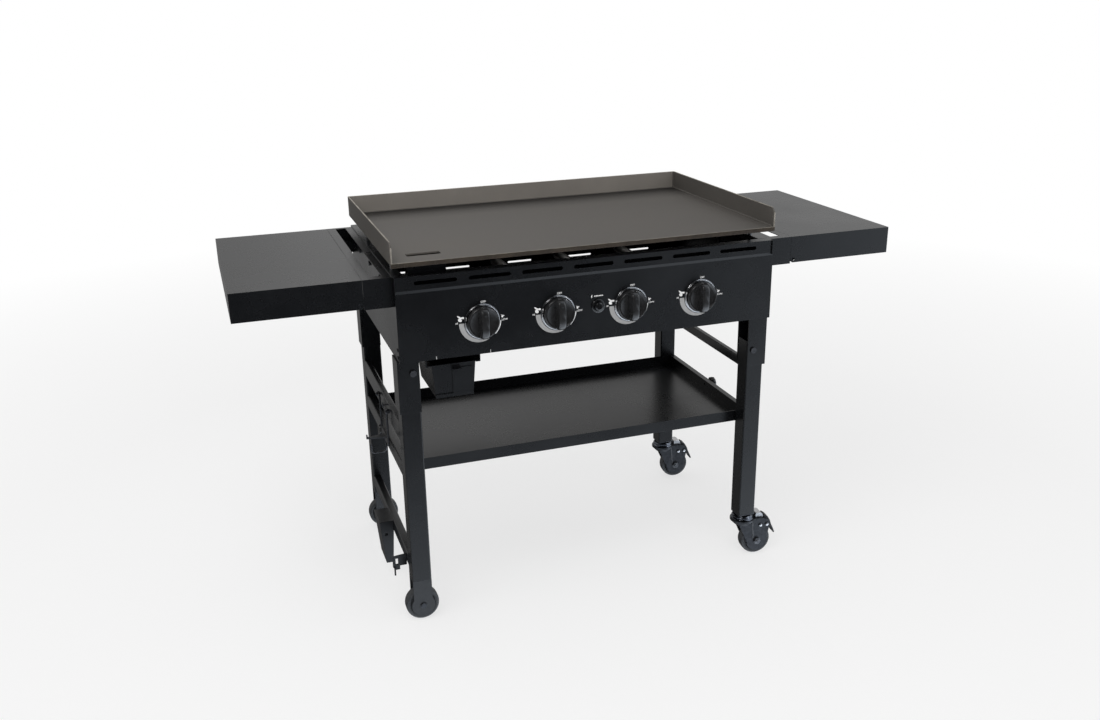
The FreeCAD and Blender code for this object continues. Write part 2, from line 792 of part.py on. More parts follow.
def bottom_shelf():
    # a tray between the leg frames, hung on the rails by its side lips
    half = leg_outer - rail_width - tray_side_gap
    y0 = rail_front + tray_end_gap
    y1 = rail_rear - tray_end_gap
    z0 = shelf_rail_top + sheet - tray_rim
    top = shelf_rail_top + sheet
    outer = box(-half, half, y0, y1, z0, top)
    body = outer.cut(box(-half + sheet, half - sheet, y0 + sheet, y1 - sheet, z0 + sheet, top + 1))
    lip = box(half - sheet, half + tray_lip, y0, y1, shelf_rail_top, top)
    body = body.fuse([lip, mirrored(lip)]).removeSplitter()
    return body.cut([thumb_hole(-1, half - 2 * sheet, half + 1), thumb_hole(1, half - 2 * sheet, half + 1)])


def thumbscrew(side):
    # a hand knob outside the rail, and its thread through rail and tray into a nut
    inner = leg_outer - rail_width - tray_side_gap - sheet
    grip = rod_x(leg_outer, leg_outer + thumb_length, thumb_y, thumb_z, thumb_radius)
    shank = rod_x(inner - 10.0, leg_outer, thumb_y, thumb_z, thumb_shank)
    nut = hex_prism(V(inner - 5.0, thumb_y, thumb_z), V(1, 0, 0), 6.0, 5.0)
    body = grip.fuse([shank, nut]).removeSplitter()
    return body if side > 0 else mirrored(body)


def wheel_at(x, y):
    # tyre, web and hub in one turning, with rounded tread edges
    w = wheel_width / 2
    r = wheel_radius
    hub = fork_inner - moving_gap
    bore = axle_radius + running_fit
    half = [(bore, hub), (hub_radius, hub), (hub_radius, w - 7), (r - 13, w - 7), (r - 11, w - 1), (r - 8, w),
            (r - 3.5, w - 1), (r - 0.8, w - 4), (r, w - 8)]
    other = [(a, -b) for a, b in reversed(half)]
    return revolve_y([(a, y + b) for a, b in half + other], x, wheel_radius)


def axle_at(x, y, nut_side):
    # a head against one cheek and the nut against the other, on the side given
    shaft = rod_y(y - fork_outer, y + fork_outer, x, wheel_radius, axle_radius)
    head_y = y + fork_outer if nut_side < 0 else y - fork_outer - axle_head_height
    head = rod_y(head_y, head_y + axle_head_height, x, wheel_radius, axle_head_radius)
    nut_y = y - fork_outer - axle_nut_height if nut_side < 0 else y + fork_outer
    nut = hex_prism(V(x, nut_y, wheel_radius), V(0, 1, 0), axle_nut_radius, axle_nut_height)
    return shaft.fuse([head, nut])


def fixed_fork(x, y):
    # a plate under the leg with two cheeks down to the axle
    half = leg_size / 2
    top = fixed_caster_height
    plate = box(x - half, x + half, y - fork_outer, y + fork_outer, top - caster_plate, top)
    solids = [plate]
    outline = [(x - half, top), (x + half, top), (x + half, wheel_radius), (x - half, wheel_radius)]
    for y0 in (y - fork_outer, y + fork_inner):
        solids.append(prism_y(outline, y0, y0 + fork_sheet))
        solids.append(rod_y(y0, y0 + fork_sheet, x, wheel_radius, fork_end_radius))
    body = solids[0].fuse(solids[1:]).removeSplitter()
    return body.cut(rod_y(y - leg_size, y + leg_size, x, wheel_radius, axle_radius + running_fit))


def swivel_place(shape, y):
    # from the caster's own frame, trail along +X, to its leg
    shape = shape.copy()
    shape.rotate(V(0, 0, 0), V(0, 0, 1), swivel_rest_angle)
    shape.translate(V(leg_x, y, 0))
    return shape


def caster_plate_right(y):
    half = leg_size / 2
    top = swivel_caster_height
    plate = box(leg_x - half, leg_x + half, y - half, y + half, top - caster_plate, top)
    race = rod_z(crown_height + fork_crown + moving_gap, top - caster_plate, leg_x, y, race_radius)
    pin = rod_z(crown_height - moving_gap, crown_height + fork_crown + moving_gap, leg_x, y, kingpin_radius)
    head = rod_z(crown_height - moving_gap - 4.0, crown_height - moving_gap, leg_x, y, kingpin_radius + 4.0)
    return plate.fuse([race, pin, head]).removeSplitter()


def pedal_pivot():
    return (swivel_trail + pedal_pivot_reach, wheel_radius + pedal_pivot_rise)


def fork_pin(x, z):
    # a pin through both cheeks with a cap outside each
    pin = rod_y(-fork_outer, fork_outer, x, z, pedal_pin_radius)
    caps = [rod_y(s, s + pedal_cap_height, x, z, pedal_pin_radius + pedal_cap)
            for s in (-fork_outer - pedal_cap_height, fork_outer)]
    return pin.fuse(caps).removeSplitter()


def swivel_fork(y):
    # a crown that turns on the kingpin, with two cheeks that carry the axle and the pedal pin
    top = crown_height + fork_crown
    px, pz = pedal_pivot()
    end = swivel_trail + fork_end_radius
    crown = rod_z(crown_height, top, 0, 0, crown_radius)
    crown = crown.fuse(box(0, crown_length, -fork_outer, fork_outer, crown_height, top))
    bowl = Part.makeCone(bowl_radius, crown_radius, bowl_height, V(0, 0, crown_height - bowl_height),
                         V(0, 0, 1))
    room = Part.makeCone(bowl_radius - fork_sheet, crown_radius - fork_sheet, bowl_height,
                         V(0, 0, crown_height - bowl_height), V(0, 0, 1))
    outline = [(-cheek_back, top), (crown_length, top), (px, pz + 14.0), (px + 9.0, pz + 4.0),
               (px + 7.0, pz - 8.0), (end, wheel_radius + 6.0), (end, wheel_radius),
               (swivel_trail - fork_end_radius, wheel_radius), (6.0 - cheek_back, crown_height - bowl_height)]
    cheeks = [prism_y(outline, y0, y0 + fork_sheet) for y0 in (-fork_outer, fork_inner)]
    cheeks += [rod_y(y0, y0 + fork_sheet, swivel_trail, wheel_radius, fork_end_radius)
               for y0 in (-fork_outer, fork_inner)]
    body = crown.fuse([bowl.cut(room)] + cheeks).removeSplitter()
    rivet_x = px - rivet_spacing
    pin_hole = pedal_pin_radius + running_fit
    body = body.cut([rod_z(crown_height - 1, top + 1, 0, 0, kingpin_radius + running_fit),
                     rod_y(-leg_size, leg_size, swivel_trail, wheel_radius, axle_radius + running_fit),
                     rod_y(-leg_size, leg_size, px, pz, pin_hole),
                     rod_y(-leg_size, leg_size, rivet_x, pz, pin_hole)])
    pins = [fork_pin(px, pz), fork_pin(rivet_x, pz)]
    return [swivel_place(s, y) for s in [body] + pins + [axle_at(swivel_trail, 0, -1)]]


def swivel_wheel(y):
    return swivel_place(wheel_at(swivel_trail, 0), y)


def brake_pedal(y):
    # a rocker on the pedal pin: tab above, brake pad beside the tyre and foot lever outside
    px, pz = pedal_pivot()
    toward_axle = math.atan2(-pedal_pivot_rise, -pedal_pivot_reach)
    lobe = math.hypot(pedal_pivot_reach, pedal_pivot_rise) - wheel_radius - moving_gap
    pad = [(px + lobe * math.cos(toward_axle + math.radians(pedal_travel + spread)),
            pz + lobe * math.sin(toward_axle + math.radians(pedal_travel + spread))) for spread in (12, -2)]
    outline = [(px - 8, pz + 19), (px - 4, pz + 24), (px + 5, pz + 18), (px + 12, pz + 6),
               (px + 15.5, pz - 5),
               (px + 21, pz - 17), (px + 26.5, pz - 30.5), (px + 23.5, pz - 32.5), (px + 17, pz - 20),
               (px + 10, pz - 10), (px + 5, pz - 8)] + pad
    outline += [(px - 5.5, pz + 1), (px - 6, pz + 7), (px - 10, pz + 14)]
    body = prism_y(outline, -pedal_width / 2, pedal_width / 2)
    body = body.cut(rod_y(-leg_size, leg_size, px, pz, pedal_pin_radius + running_fit))
    return swivel_place(body, y)


def right_side_shelf():
    # a folded pan, open below and at its inner end, with two hinge ears inside
    x0 = seam_x + seam_gap
    x1 = overall_width / 2
    z0 = shelf_top - shelf_height
    outer = box(x0, x1, shelf_front, shelf_rear, z0, shelf_top)
    hollow = box(x0 - 1, x1 - sheet, shelf_front + sheet, shelf_rear - sheet, z0 - 1, shelf_top - sheet)
    body = outer.cut(hollow)
    px, pz = hinge_axis()
    corner = box(x0 - 1, px, shelf_front - 1, shelf_rear + 1, z0 - 1, pz)
    body = body.cut(corner.cut(rod_y(shelf_front - 2, shelf_rear + 2, px, pz, hinge_inset)))
    ear = [(px + 26, shelf_top - sheet), (px + 10, pz - 4), (px - 4, pz - 4), (px - 4, pz + 12),
           (px + 4, shelf_top - sheet)]
    ears = [prism_y(ear, y, y + ear_sheet) for y in shelf_ear_places()]
    round_ends = [rod_y(y, y + ear_sheet, px, pz, hinge_inset - 0.5) for y in shelf_ear_places()]
    body = body.fuse(ears + round_ends).removeSplitter()
    return body.cut(rod_y(shelf_front, shelf_rear, px, pz, hinge_pin_radius + running_fit))


def hinge_axis():
    return (seam_x + seam_gap + hinge_inset, shelf_top - shelf_height + hinge_inset)


def shelf_ear_places():
    return [shelf_front + sheet + ear_inset, shelf_rear - sheet - ear_inset - ear_sheet]


def bracket_ear_places():
    step = ear_sheet + moving_gap
    return [shelf_front + sheet + ear_inset + step, shelf_rear - sheet - ear_inset - ear_sheet - step]


def right_shelf_bracket():
    # the fixed part beside the firebox: top strip with a long slot, two end skirts and a bolted wall
    z0 = shelf_top - shelf_height - bracket_extra
    x0 = box_half
    outer = box(x0, seam_x, shelf_front, shelf_rear, z0, shelf_top)
    hollow = box(x0 + sheet, seam_x + 1, shelf_front + sheet, shelf_rear - sheet, z0 - 1, shelf_top - sheet)
    body = outer.cut(hollow)
    slot_x0 = x0 + long_slot_inset
    slot_y0 = shelf_front + 2 * long_slot_end - 2.0
    slot = box(slot_x0, slot_x0 + long_slot_width, slot_y0, shelf_rear - long_slot_end, z0, shelf_top + 1)
    body = body.cut(slot)
    px, pz = hinge_axis()
    ear = [(x0 + sheet, z0 + 4), (px, pz - hinge_inset), (px, pz + hinge_inset), (seam_x - 4, pz + 24),
           (x0 + sheet, pz + 24)]
    ears = [prism_y(ear, y, y + ear_sheet) for y in bracket_ear_places()]
    ears += [rod_y(y, y + ear_sheet, px, pz, hinge_inset) for y in bracket_ear_places()]
    body = body.fuse(ears).removeSplitter()
    holes = [rod_x(x0 - 1, x0 + 2 * sheet, y, z, bracket_bolt_radius + bolt_gap)
             for y, z in bracket_bolt_places()]
    holes += [rod_y(y - 1, y + ear_sheet + 1, px, pz, hinge_pin_radius + running_fit)
              for y in bracket_ear_places()]
    return body.cut(holes)


def shelf_hinge_pins():
    px, pz = hinge_axis()
    pins = []
    for a, b in zip(shelf_ear_places(), bracket_ear_places()):
        y0 = min(a, b)
        y1 = max(a, b) + ear_sheet
        # the washer beside the shelf's own ear keeps a running gap
        low = moving_gap if a < b else 0.0
        high = moving_gap - low
        shank = rod_y(y0 - low, y1 + high, px, pz, hinge_pin_radius)
        head = rod_y(y0 - low - 3.0, y0 - low, px, pz, hinge_pin_radius + 2.5)
        nut = rod_y(y1 + high, y1 + high + 4.0, px, pz, hinge_pin_radius + 2.5)
        pin = shank.fuse([head, nut]).removeSplitter()
        pins += [pin, mirrored(pin)]
    return pins


def bracket_bolts():
    bolts = []
    for y, z in bracket_bolt_places():
        x0 = box_half
        shank = rod_x(x0 - sheet - 6.0, x0 + sheet, y, z, bracket_bolt_radius)
        head = hex_prism(V(x0 + sheet, y, z), V(1, 0, 0), bracket_bolt_head, 4.0)
        nut = hex_prism(V(x0 - sheet - 4.0, y, z), V(1, 0, 0), bracket_bolt_head, 4.0)
        bolt = shank.fuse([head, nut]).removeSplitter()
        bolts += [bolt, mirrored(bolt)]
    return bolts


def panel_screws():
    screws = []
    for y, z in panel_screw_places():
        head = rod_x(box_half, box_half + 2.0, y, z, 4.5)
        shank = rod_x(box_half - 2 * sheet - 5.0, box_half, y, z, 2.0)
        screw = head.fuse(shank).removeSplitter()
        screws += [screw, mirrored(screw)]
    return screws


def grease_runners():
    # two channels under the firebox floor that hold the tray by its flanges
    half = grease_top_width / 2 + grease_flange
    z0 = runner_top - runner_height
    y0 = grease_front + 1.0
    runners = []
    for side in (-1, 1):
        wall_x = grease_x + side * (half + moving_gap)
        out_x = wall_x + side * runner_sheet
        lip_x = wall_x - side * runner_lip
        wall = box(min(wall_x, out_x), max(wall_x, out_x), y0, grease_rear, z0, runner_top)
        lip = box(min(lip_x, out_x), max(lip_x, out_x), y0, grease_rear, z0, z0 + runner_sheet)
        top = box(min(out_x, out_x + side * 8), max(out_x, out_x + side * 8), y0, grease_rear,
                  runner_top - runner_sheet, runner_top)
        runners.append(wall.fuse([lip, top]).removeSplitter())
    return runners


def grease_tray():
    # a drafted pan with side flanges, a raised strip on its face and a bent pull tab
    half = grease_top_width / 2
    top = (grease_x - half, grease_x + half, grease_front, grease_rear)
    foot = (grease_x - half + grease_draft, grease_x + half - grease_draft, grease_front,
            grease_rear - grease_draft)
    z1 = grease_top
    z0 = grease_top - grease_height
    pan = funnel(top, foot, z1, z0)
    flange = box(top[0] - grease_flange, top[1] + grease_flange, grease_front, grease_rear, z1 - sheet, z1)
    inner_top = shrink(top, sheet)
    inner_foot = shrink(foot, sheet)
    hollow = funnel(inner_top, inner_foot, z1, z0 + sheet)
    mouth = box(*inner_top, z1 - 0.01, z1 + 1)
    body = pan.fuse(flange).removeSplitter().cut(hollow.fuse(mouth))
    f = grease_front
    strip = box(grease_x - 4.0, grease_x + half - grease_draft - 2.0, f - 2.0, f, z0 + 8.0, z1 - 10.0)
    tab = box(grease_x - 4.0, grease_x + 16.0, f - 12.0, f - 2.0, z1 - 13.0, z1 - 10.0)
    sill = box(foot[0], foot[1], f - 2.5, f, z0, z0 + 8.0)
    return body.fuse([strip, tab, sill]).removeSplitter()


def hanger_mounts():
    # two eye bolts on the left upper rail, and the stop between them
    solids = []
    rail_x = -leg_outer
    eye_radius = hanger_wire + running_fit + eye_wire
    for y in (hanger_y0, hanger_y1):
        ring = Part.makeTorus(eye_radius, eye_wire, V(hanger_x, y, hanger_z), V(0, 1, 0))
        shank = rod_x(hanger_x + eye_radius, rail_x, y, hanger_z, eye_wire)
        solids.append(ring.fuse(shank).removeSplitter())
    stop_y = hanger_y0 + stop_offset
    post = rod_x(hanger_x - 8.0, rail_x, stop_y, hanger_z + 6.0, eye_wire)
    bar = rod_z(hanger_z, hanger_z + 12.0, hanger_x - 6.0, stop_y, eye_wire)
    solids.append(post.fuse(bar).removeSplitter())
    return solids


def gas_bottle_hanger():
    # two hanging rods joined by a plate, with a pointed hook and a wire loop under it
    foot = hanger_z - hanger_drop
    middle = (hanger_y0 + hanger_y1) / 2
    pieces = []
    for side, eye_y in ((-1, hanger_y0), (1, hanger_y1)):
        y = eye_y - side * 3 * eye_offset
        pieces.append(bent_rod([V(hanger_x, eye_y + side * eye_offset, hanger_z), V(hanger_x, y, hanger_z),
                                V(hanger_x, y, foot)], hanger_wire, 2 * hanger_wire))
    plate = box(hanger_x - 1.5, hanger_x + 1.5, hanger_y0 + 3 * eye_offset, hanger_y1 - 3 * eye_offset, foot,
                foot + 20.0)
    tip_x = hanger_x - hook_reach
    hook = Part.Face(Part.makePolygon([V(hanger_x, middle - 12, foot + 8), V(hanger_x, middle + 12, foot + 8),
                                       V(tip_x, middle + 3, foot + 8), V(tip_x, middle - 3, foot + 8),
                                       V(hanger_x, middle - 12, foot + 8)])).extrude(V(0, 0, 3.5))
    up = box(tip_x, tip_x + 3.0, middle - 3, middle + 3, foot + 8, foot + 18)
    loop_foot = foot - loop_drop
    loop = bent_rod([V(hanger_x, middle, foot + 4), V(hanger_x, middle, loop_foot),
                     V(hanger_x - loop_reach, middle, loop_foot),
                     V(hanger_x - loop_reach, middle, loop_foot + 24)],
                    hanger_wire, 8.0)
    return pieces[0].fuse([pieces[1], plate, hook, up, loop]).removeSplitter()


def bottle_rest():
    # a tapered folded bracket on the lower rail that the bottle leans against
    x0 = -leg_outer
    y0 = panel_front + rest_pad_setback
    y1 = y0 + rest_pad_depth
    top = lower_rail_top
    foot = top - rest_pad_height
    outline = [(x0, top), (x0 - rest_pad_reach_top, top), (x0 - rest_pad_reach_foot, foot), (x0 - 6.0, foot),
               (x0, top - lower_rail_height)]
    outer = prism_y(outline, y0, y1)
    s = rest_pad_sheet
    inner = [(x0 - s, top - s), (x0 - rest_pad_reach_top + s, top - s),
             (x0 - rest_pad_reach_foot + s, foot - 1),
             (x0 - 6.0 - s, foot - 1), (x0 - s, top - lower_rail_height)]
    body = outer.cut(prism_y(inner, y0 + s, y1 - s))
    return body.cut(rod_y(y0 - 1, y0 + 2 * s, x0 - 20.0, top - 35.0, 4.0))


def strap_bracket():
    # a slotted lug at the front of the lower rail with a captive pin
    x0 = -leg_outer
    y0 = panel_front + strap_setback
    top = lower_rail_top - 8.0
    out = x0 - strap_reach
    step = x0 - strap_reach / 2
    lug = prism_y([(x0, top), (out, top - 3), (out, top - strap_height + 8), (out + 6, top - strap_height),
                   (step, top - strap_height), (step, top - strap_root), (x0, top - strap_root)],
                  y0, y0 + strap_sheet)
    slot = box(out + 7, out + 7 + strap_slot_width, y0 - 1, y0 + strap_sheet + 1,
               top - 10 - strap_slot_height, top - 10)
    pin_top = top - strap_height + 8
    pin = rod_z(pin_top - strap_pin_length, pin_top, out + 2 * strap_pin_radius, y0 - strap_pin_radius,
                strap_pin_radius)
    return lug.cut(slot).fuse(pin).removeSplitter()


def build_all():
    save("griddle_plate", [griddle_plate()])
    save("griddle_feet", griddle_feet())
    save("firebox_body", [firebox_body()])
    save("vent_rail", [vent_rail()])
    save("control_panel", [control_panel()])
    save("heat_shield", [heat_shield()])
    save("burners", [burner(x) for x in burner_xs])
    save("burner_rest", [burner_rest()])
    save("manifold", [manifold()])
    save("gas_inlet", [gas_inlet()])
    save("gas_valves", [gas_valve(x) for x in burner_xs])
    save("knob_bezels", [knob_bezel(x) for x in burner_xs])
    for i, x in enumerate(burner_xs):
        save("valve_stem_%d" % (i + 1), [valve_stem(x)])
        save("knob_%d" % (i + 1), [knob(x)])
    save("igniter_body", [igniter_body()])
    save("igniter_button", [igniter_button()])
    save("electrodes", [electrode(x) for x in burner_xs])
    save("ignition_leads", ignition_leads())

    save("leg_front_left", [leg(-1, leg_front_y, fixed_caster_height, pivot_drop_left)])
    save("leg_rear_left", [leg(-1, leg_rear_y, fixed_caster_height, pivot_drop_left)])
    save("leg_front_right", [leg(1, leg_front_y, swivel_caster_height, pivot_drop_right)])
    save("leg_rear_right", [leg(1, leg_rear_y, swivel_caster_height, pivot_drop_right)])
    corners = [(-1, leg_front_y, pivot_drop_left, -1), (-1, leg_rear_y, pivot_drop_left, 1),
               (1, leg_front_y, pivot_drop_right, -1), (1, leg_rear_y, pivot_drop_right, 1)]
    save("leg_sockets", [leg_socket(s, y, drop) for s, y, drop, facing in corners])
    save("leg_bolts", [leg_bolt(*corner) for corner in corners])
    save("upper_rails", [side_rail(-1, left_upper_rail_top, left_upper_rail_height, rail_width),
                         side_rail(1, right_upper_rail_top, right_upper_rail_height, rail_width)])
    save("shelf_rails", shelf_rails())
    save("lower_rail", [side_rail(-1, lower_rail_top, lower_rail_height, lower_rail_width)])
    save("bottom_shelf", [bottom_shelf()])
    save("shelf_thumbscrews", [thumbscrew(-1), thumbscrew(1)])

    save("fixed_forks", [fixed_fork(-leg_x, leg_front_y), fixed_fork(-leg_x, leg_rear_y)])
    save("fixed_axles", [axle_at(-leg_x, leg_front_y, 1), axle_at(-leg_x, leg_rear_y, 1)])
    save("wheel_front_left", [wheel_at(-leg_x, leg_front_y)])
    save("wheel_rear_left", [wheel_at(-leg_x, leg_rear_y)])
    save("caster_plates", [caster_plate_right(leg_front_y), caster_plate_right(leg_rear_y)])
    for name, y in (("front_right", leg_front_y), ("rear_right", leg_rear_y)):
        save("fork_" + name, swivel_fork(y))
        save("wheel_" + name, [swivel_wheel(y)])
        save("brake_pedal_" + name, [brake_pedal(y)])

    shelf = right_side_shelf()
    bracket = right_shelf_bracket()
    save("shelf_right", [shelf])
    save("shelf_left", [mirrored(shelf)])
    save("shelf_bracket_right", [bracket])
    save("shelf_bracket_left", [mirrored(bracket)])
    save("shelf_hinge_pins", shelf_hinge_pins())
    save("bracket_bolts", bracket_bolts())
    save("panel_screws", panel_screws())

    save("grease_chute", [grease_chute()])
    save("grease_runners", grease_runners())
    save("grease_tray", [grease_tray()])
    save("hanger_mounts", hanger_mounts())
    save("gas_bottle_hanger", [gas_bottle_hanger()])
    save("bottle_rest", [bottle_rest()])
    save("strap_bracket", [strap_bracket()])


build_all()
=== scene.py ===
import bpy
import math
import numpy as np
from mathutils import Matrix, Vector


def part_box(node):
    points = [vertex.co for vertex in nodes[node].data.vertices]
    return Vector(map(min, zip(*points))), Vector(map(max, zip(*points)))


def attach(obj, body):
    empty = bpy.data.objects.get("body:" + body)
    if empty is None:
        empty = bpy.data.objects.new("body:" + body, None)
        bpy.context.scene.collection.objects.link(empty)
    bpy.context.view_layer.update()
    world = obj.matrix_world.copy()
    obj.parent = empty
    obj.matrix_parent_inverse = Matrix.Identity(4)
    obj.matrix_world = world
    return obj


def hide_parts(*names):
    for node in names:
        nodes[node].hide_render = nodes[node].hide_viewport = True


# Outdoor gas griddle station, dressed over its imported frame. Metres, X to the cook's right, Z up.
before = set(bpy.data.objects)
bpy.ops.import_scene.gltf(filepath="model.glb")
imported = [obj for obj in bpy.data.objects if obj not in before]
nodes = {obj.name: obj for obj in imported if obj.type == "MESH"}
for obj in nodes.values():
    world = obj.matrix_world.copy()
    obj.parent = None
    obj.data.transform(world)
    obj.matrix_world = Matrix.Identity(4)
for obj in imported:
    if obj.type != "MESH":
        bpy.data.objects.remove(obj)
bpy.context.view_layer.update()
scene = bpy.context.scene
scene.view_settings.view_transform = "Standard"
print("frame loaded:", len(nodes), "nodes")

cameraView = {"place": (-0.839, -2.4245, 1.440), "yaw": 18.70, "down": 19.67, "roll": -0.98, "lens": 34.81,
              "sensor": 36}


def makeCamera(v):
    # looks along +Y, turned right by yaw, tipped down by down, then rolled; all in degrees
    yaw, down, roll = (math.radians(v[k]) for k in ("yaw", "down", "roll"))
    ahead = Vector((math.sin(yaw) * math.cos(down), math.cos(yaw) * math.cos(down), -math.sin(down)))
    right = Vector((math.cos(yaw), -math.sin(yaw), 0))
    up = right.cross(ahead)
    x = right * math.cos(roll) + up * math.sin(roll)
    y = -right * math.sin(roll) + up * math.cos(roll)
    data = bpy.data.cameras.new("camera")
    data.lens = v["lens"]
    data.sensor_width = v["sensor"]
    data.sensor_fit = "HORIZONTAL"
    camera = bpy.data.objects.new("camera", data)
    scene.collection.objects.link(camera)
    camera.matrix_world = Matrix((
        (x.x, y.x, -ahead.x, v["place"][0]),
        (x.y, y.y, -ahead.y, v["place"][1]),
        (x.z, y.z, -ahead.z, v["place"][2]),
        (0, 0, 0, 1)))
    scene.camera = camera


makeCamera(cameraView)


class Sock:
    # one socket of a node tree: arithmetic on it adds Math nodes, and node() makes any other node
    def __init__(self, tree, out):
        self.tree, self.out = tree, out

    def node(self, kind, settings=None, values=None, pick=0):
        made = self.tree.nodes.new("ShaderNode" + kind)
        settings = dict(settings or {})
        stops = settings.pop("stops", None)
        for name, value in settings.items():
            setattr(made, name, value)
        if stops:
            ramp = made.color_ramp
            while len(ramp.elements) < len(stops):
                ramp.elements.new(0.5)
            for element, (at, grey) in zip(ramp.elements, stops):
                element.position = at
                element.color = (grey, grey, grey, 1)
        for name, value in (values or {}).items():
            if isinstance(value, Sock):
                self.tree.links.new(value.out, made.inputs[name])
            else:
                made.inputs[name].default_value = value
        return Sock(self.tree, made.outputs[pick])

    def math(self, operation, *values, clamp=False):
        return self.node("Math", {"operation": operation, "use_clamp": clamp}, dict(enumerate(values)))

    def __add__(self, other):
        return self.math("ADD", self, other)

    def __sub__(self, other):
        return self.math("SUBTRACT", self, other)

    def __rsub__(self, other):
        return self.math("SUBTRACT", other, self)

    def __mul__(self, other):
        return self.math("MULTIPLY", self, other)

    def __truediv__(self, other):
        return self.math("DIVIDE", self, other)

    def __gt__(self, other):
        return self.math("GREATER_THAN", self, other)

    def __lt__(self, other):
        return self.math("LESS_THAN", self, other)

    __radd__ = __add__
    __rmul__ = __mul__

    def clamped(self):
        return self.math("ADD", self, 0.0, clamp=True)

    def part(self, axis):
        return self.node("SeparateXYZ", {}, {"Vector": self}, pick=axis)

    def noise(self, scale, detail=2.0, rough=0.5, stretch=(1, 1, 1)):
        spot = self.node("Mapping", {}, {"Vector": self, "Scale": stretch}) if stretch != (1, 1, 1) else self
        return self.node("TexNoise", {}, {"Vector": spot, "Scale": scale, "Detail": detail,
                                          "Roughness": rough})

    def ramp(self, low, high):
        # 0 below low, 1 above high, a straight climb between
        return self.node("MapRange", {}, {"Value": self, "From Min": low, "From Max": high})

    def graded(self, stops):
        # greys at the given stops from 0 to 1, straight between them
        return self.node("ValToRGB", {"stops": stops}, {"Fac": self})

    def blend(self, first, second):
        # this socket mixes two colours, which are inputs 6 and 7 and output 2 of a Mix node
        return self.node("Mix", {"data_type": "RGBA"}, {0: self, 6: first, 7: second}, pick=2)

    def scaled(self, share):
        # a colour made lighter or darker by a share
        return self.node("VectorMath", {"operation": "SCALE"}, {0: self, "Scale": share})

    def bump(self, strength, distance):
        return self.node("Bump", {}, {"Height": self, "Strength": strength, "Distance": distance})

    def surface(self, kind):
        # ends a material's or the world's tree
        self.tree.links.new(self.out, self.tree.nodes.new("ShaderNodeOutput" + kind).inputs["Surface"])


def startTree(owner, coordinate):
    # empties the node tree of a material or the world and starts it with a texture coordinate
    owner.use_nodes = True
    tree = owner.node_tree
    tree.nodes.clear()
    return Sock(tree, tree.nodes.new("ShaderNodeTexCoord").outputs[coordinate])


def rgb(r, g, b):
    return (r, g, b, 1.0)


finishes = {}


def makeFinish(name, recipe):
    # recipe: a function from Object coordinates to the shader's inputs
    finishes[name] = bpy.data.materials.new(name)
    place = startTree(finishes[name], "Object")
    place.node("BsdfPrincipled", {}, recipe(place)).surface("Material")


powderCoat = {"dark": rgb(0.0028, 0.0030, 0.0036), "dusty": rgb(0.0044, 0.0046, 0.0054), "cloud": 6.0,
              "peel": 700, "peelDepth": 0.000016, "gloss": 0.235, "glossSwing": 0.06,
              "fine": 60, "fineSwing": 0.03}


def blackPowderCoat(place):
    # black paint with dusty clouds and a fine orange peel
    p = powderCoat
    cloud = place.noise(p["cloud"], 4.0, 0.6)
    gloss = p["gloss"] + p["glossSwing"] * cloud.ramp(0.3, 0.75)
    return {"Base Color": cloud.ramp(0.35, 0.7).blend(p["dark"], p["dusty"]),
            "Roughness": gloss + p["fineSwing"] * place.noise(p["fine"], 3.0),
            "Normal": place.noise(p["peel"], 1.0).bump(0.25, p["peelDepth"])}


cookingHeight = 0.884  # the griddle plate's upper face
# painted light and shade below: the plate's far end and the lip's face are painted darker, the rear wall
# lighter, and the band at the tops is bare metal also painted as a highlight
griddleLook = {"steel": rgb(0.110, 0.101, 0.090), "dark": rgb(0.084, 0.077, 0.069),
               "bareAndHighlight": rgb(0.36, 0.33, 0.285), "metallic": 0.06, "gloss": 0.56,
               "highlightBand": 0.0012, "hair": 0.0003, "lipLine": 0.0009, "lipFace": 0.0012,
               "lipShadeDark": rgb(0.020, 0.014, 0.009), "lipShadePale": rgb(0.040, 0.029, 0.019),
               "far": (0.16, 0.284), "rearShade": 0.24, "wallSheet": 0.0045, "wallFoot": 0.0006,
               "rearWallPaintedLight": 2.15, "slotDark": rgb(0.006, 0.005, 0.0045), "skin": 0.0004,
               "drain": ((-0.411, -0.219), (-0.336, -0.195))}


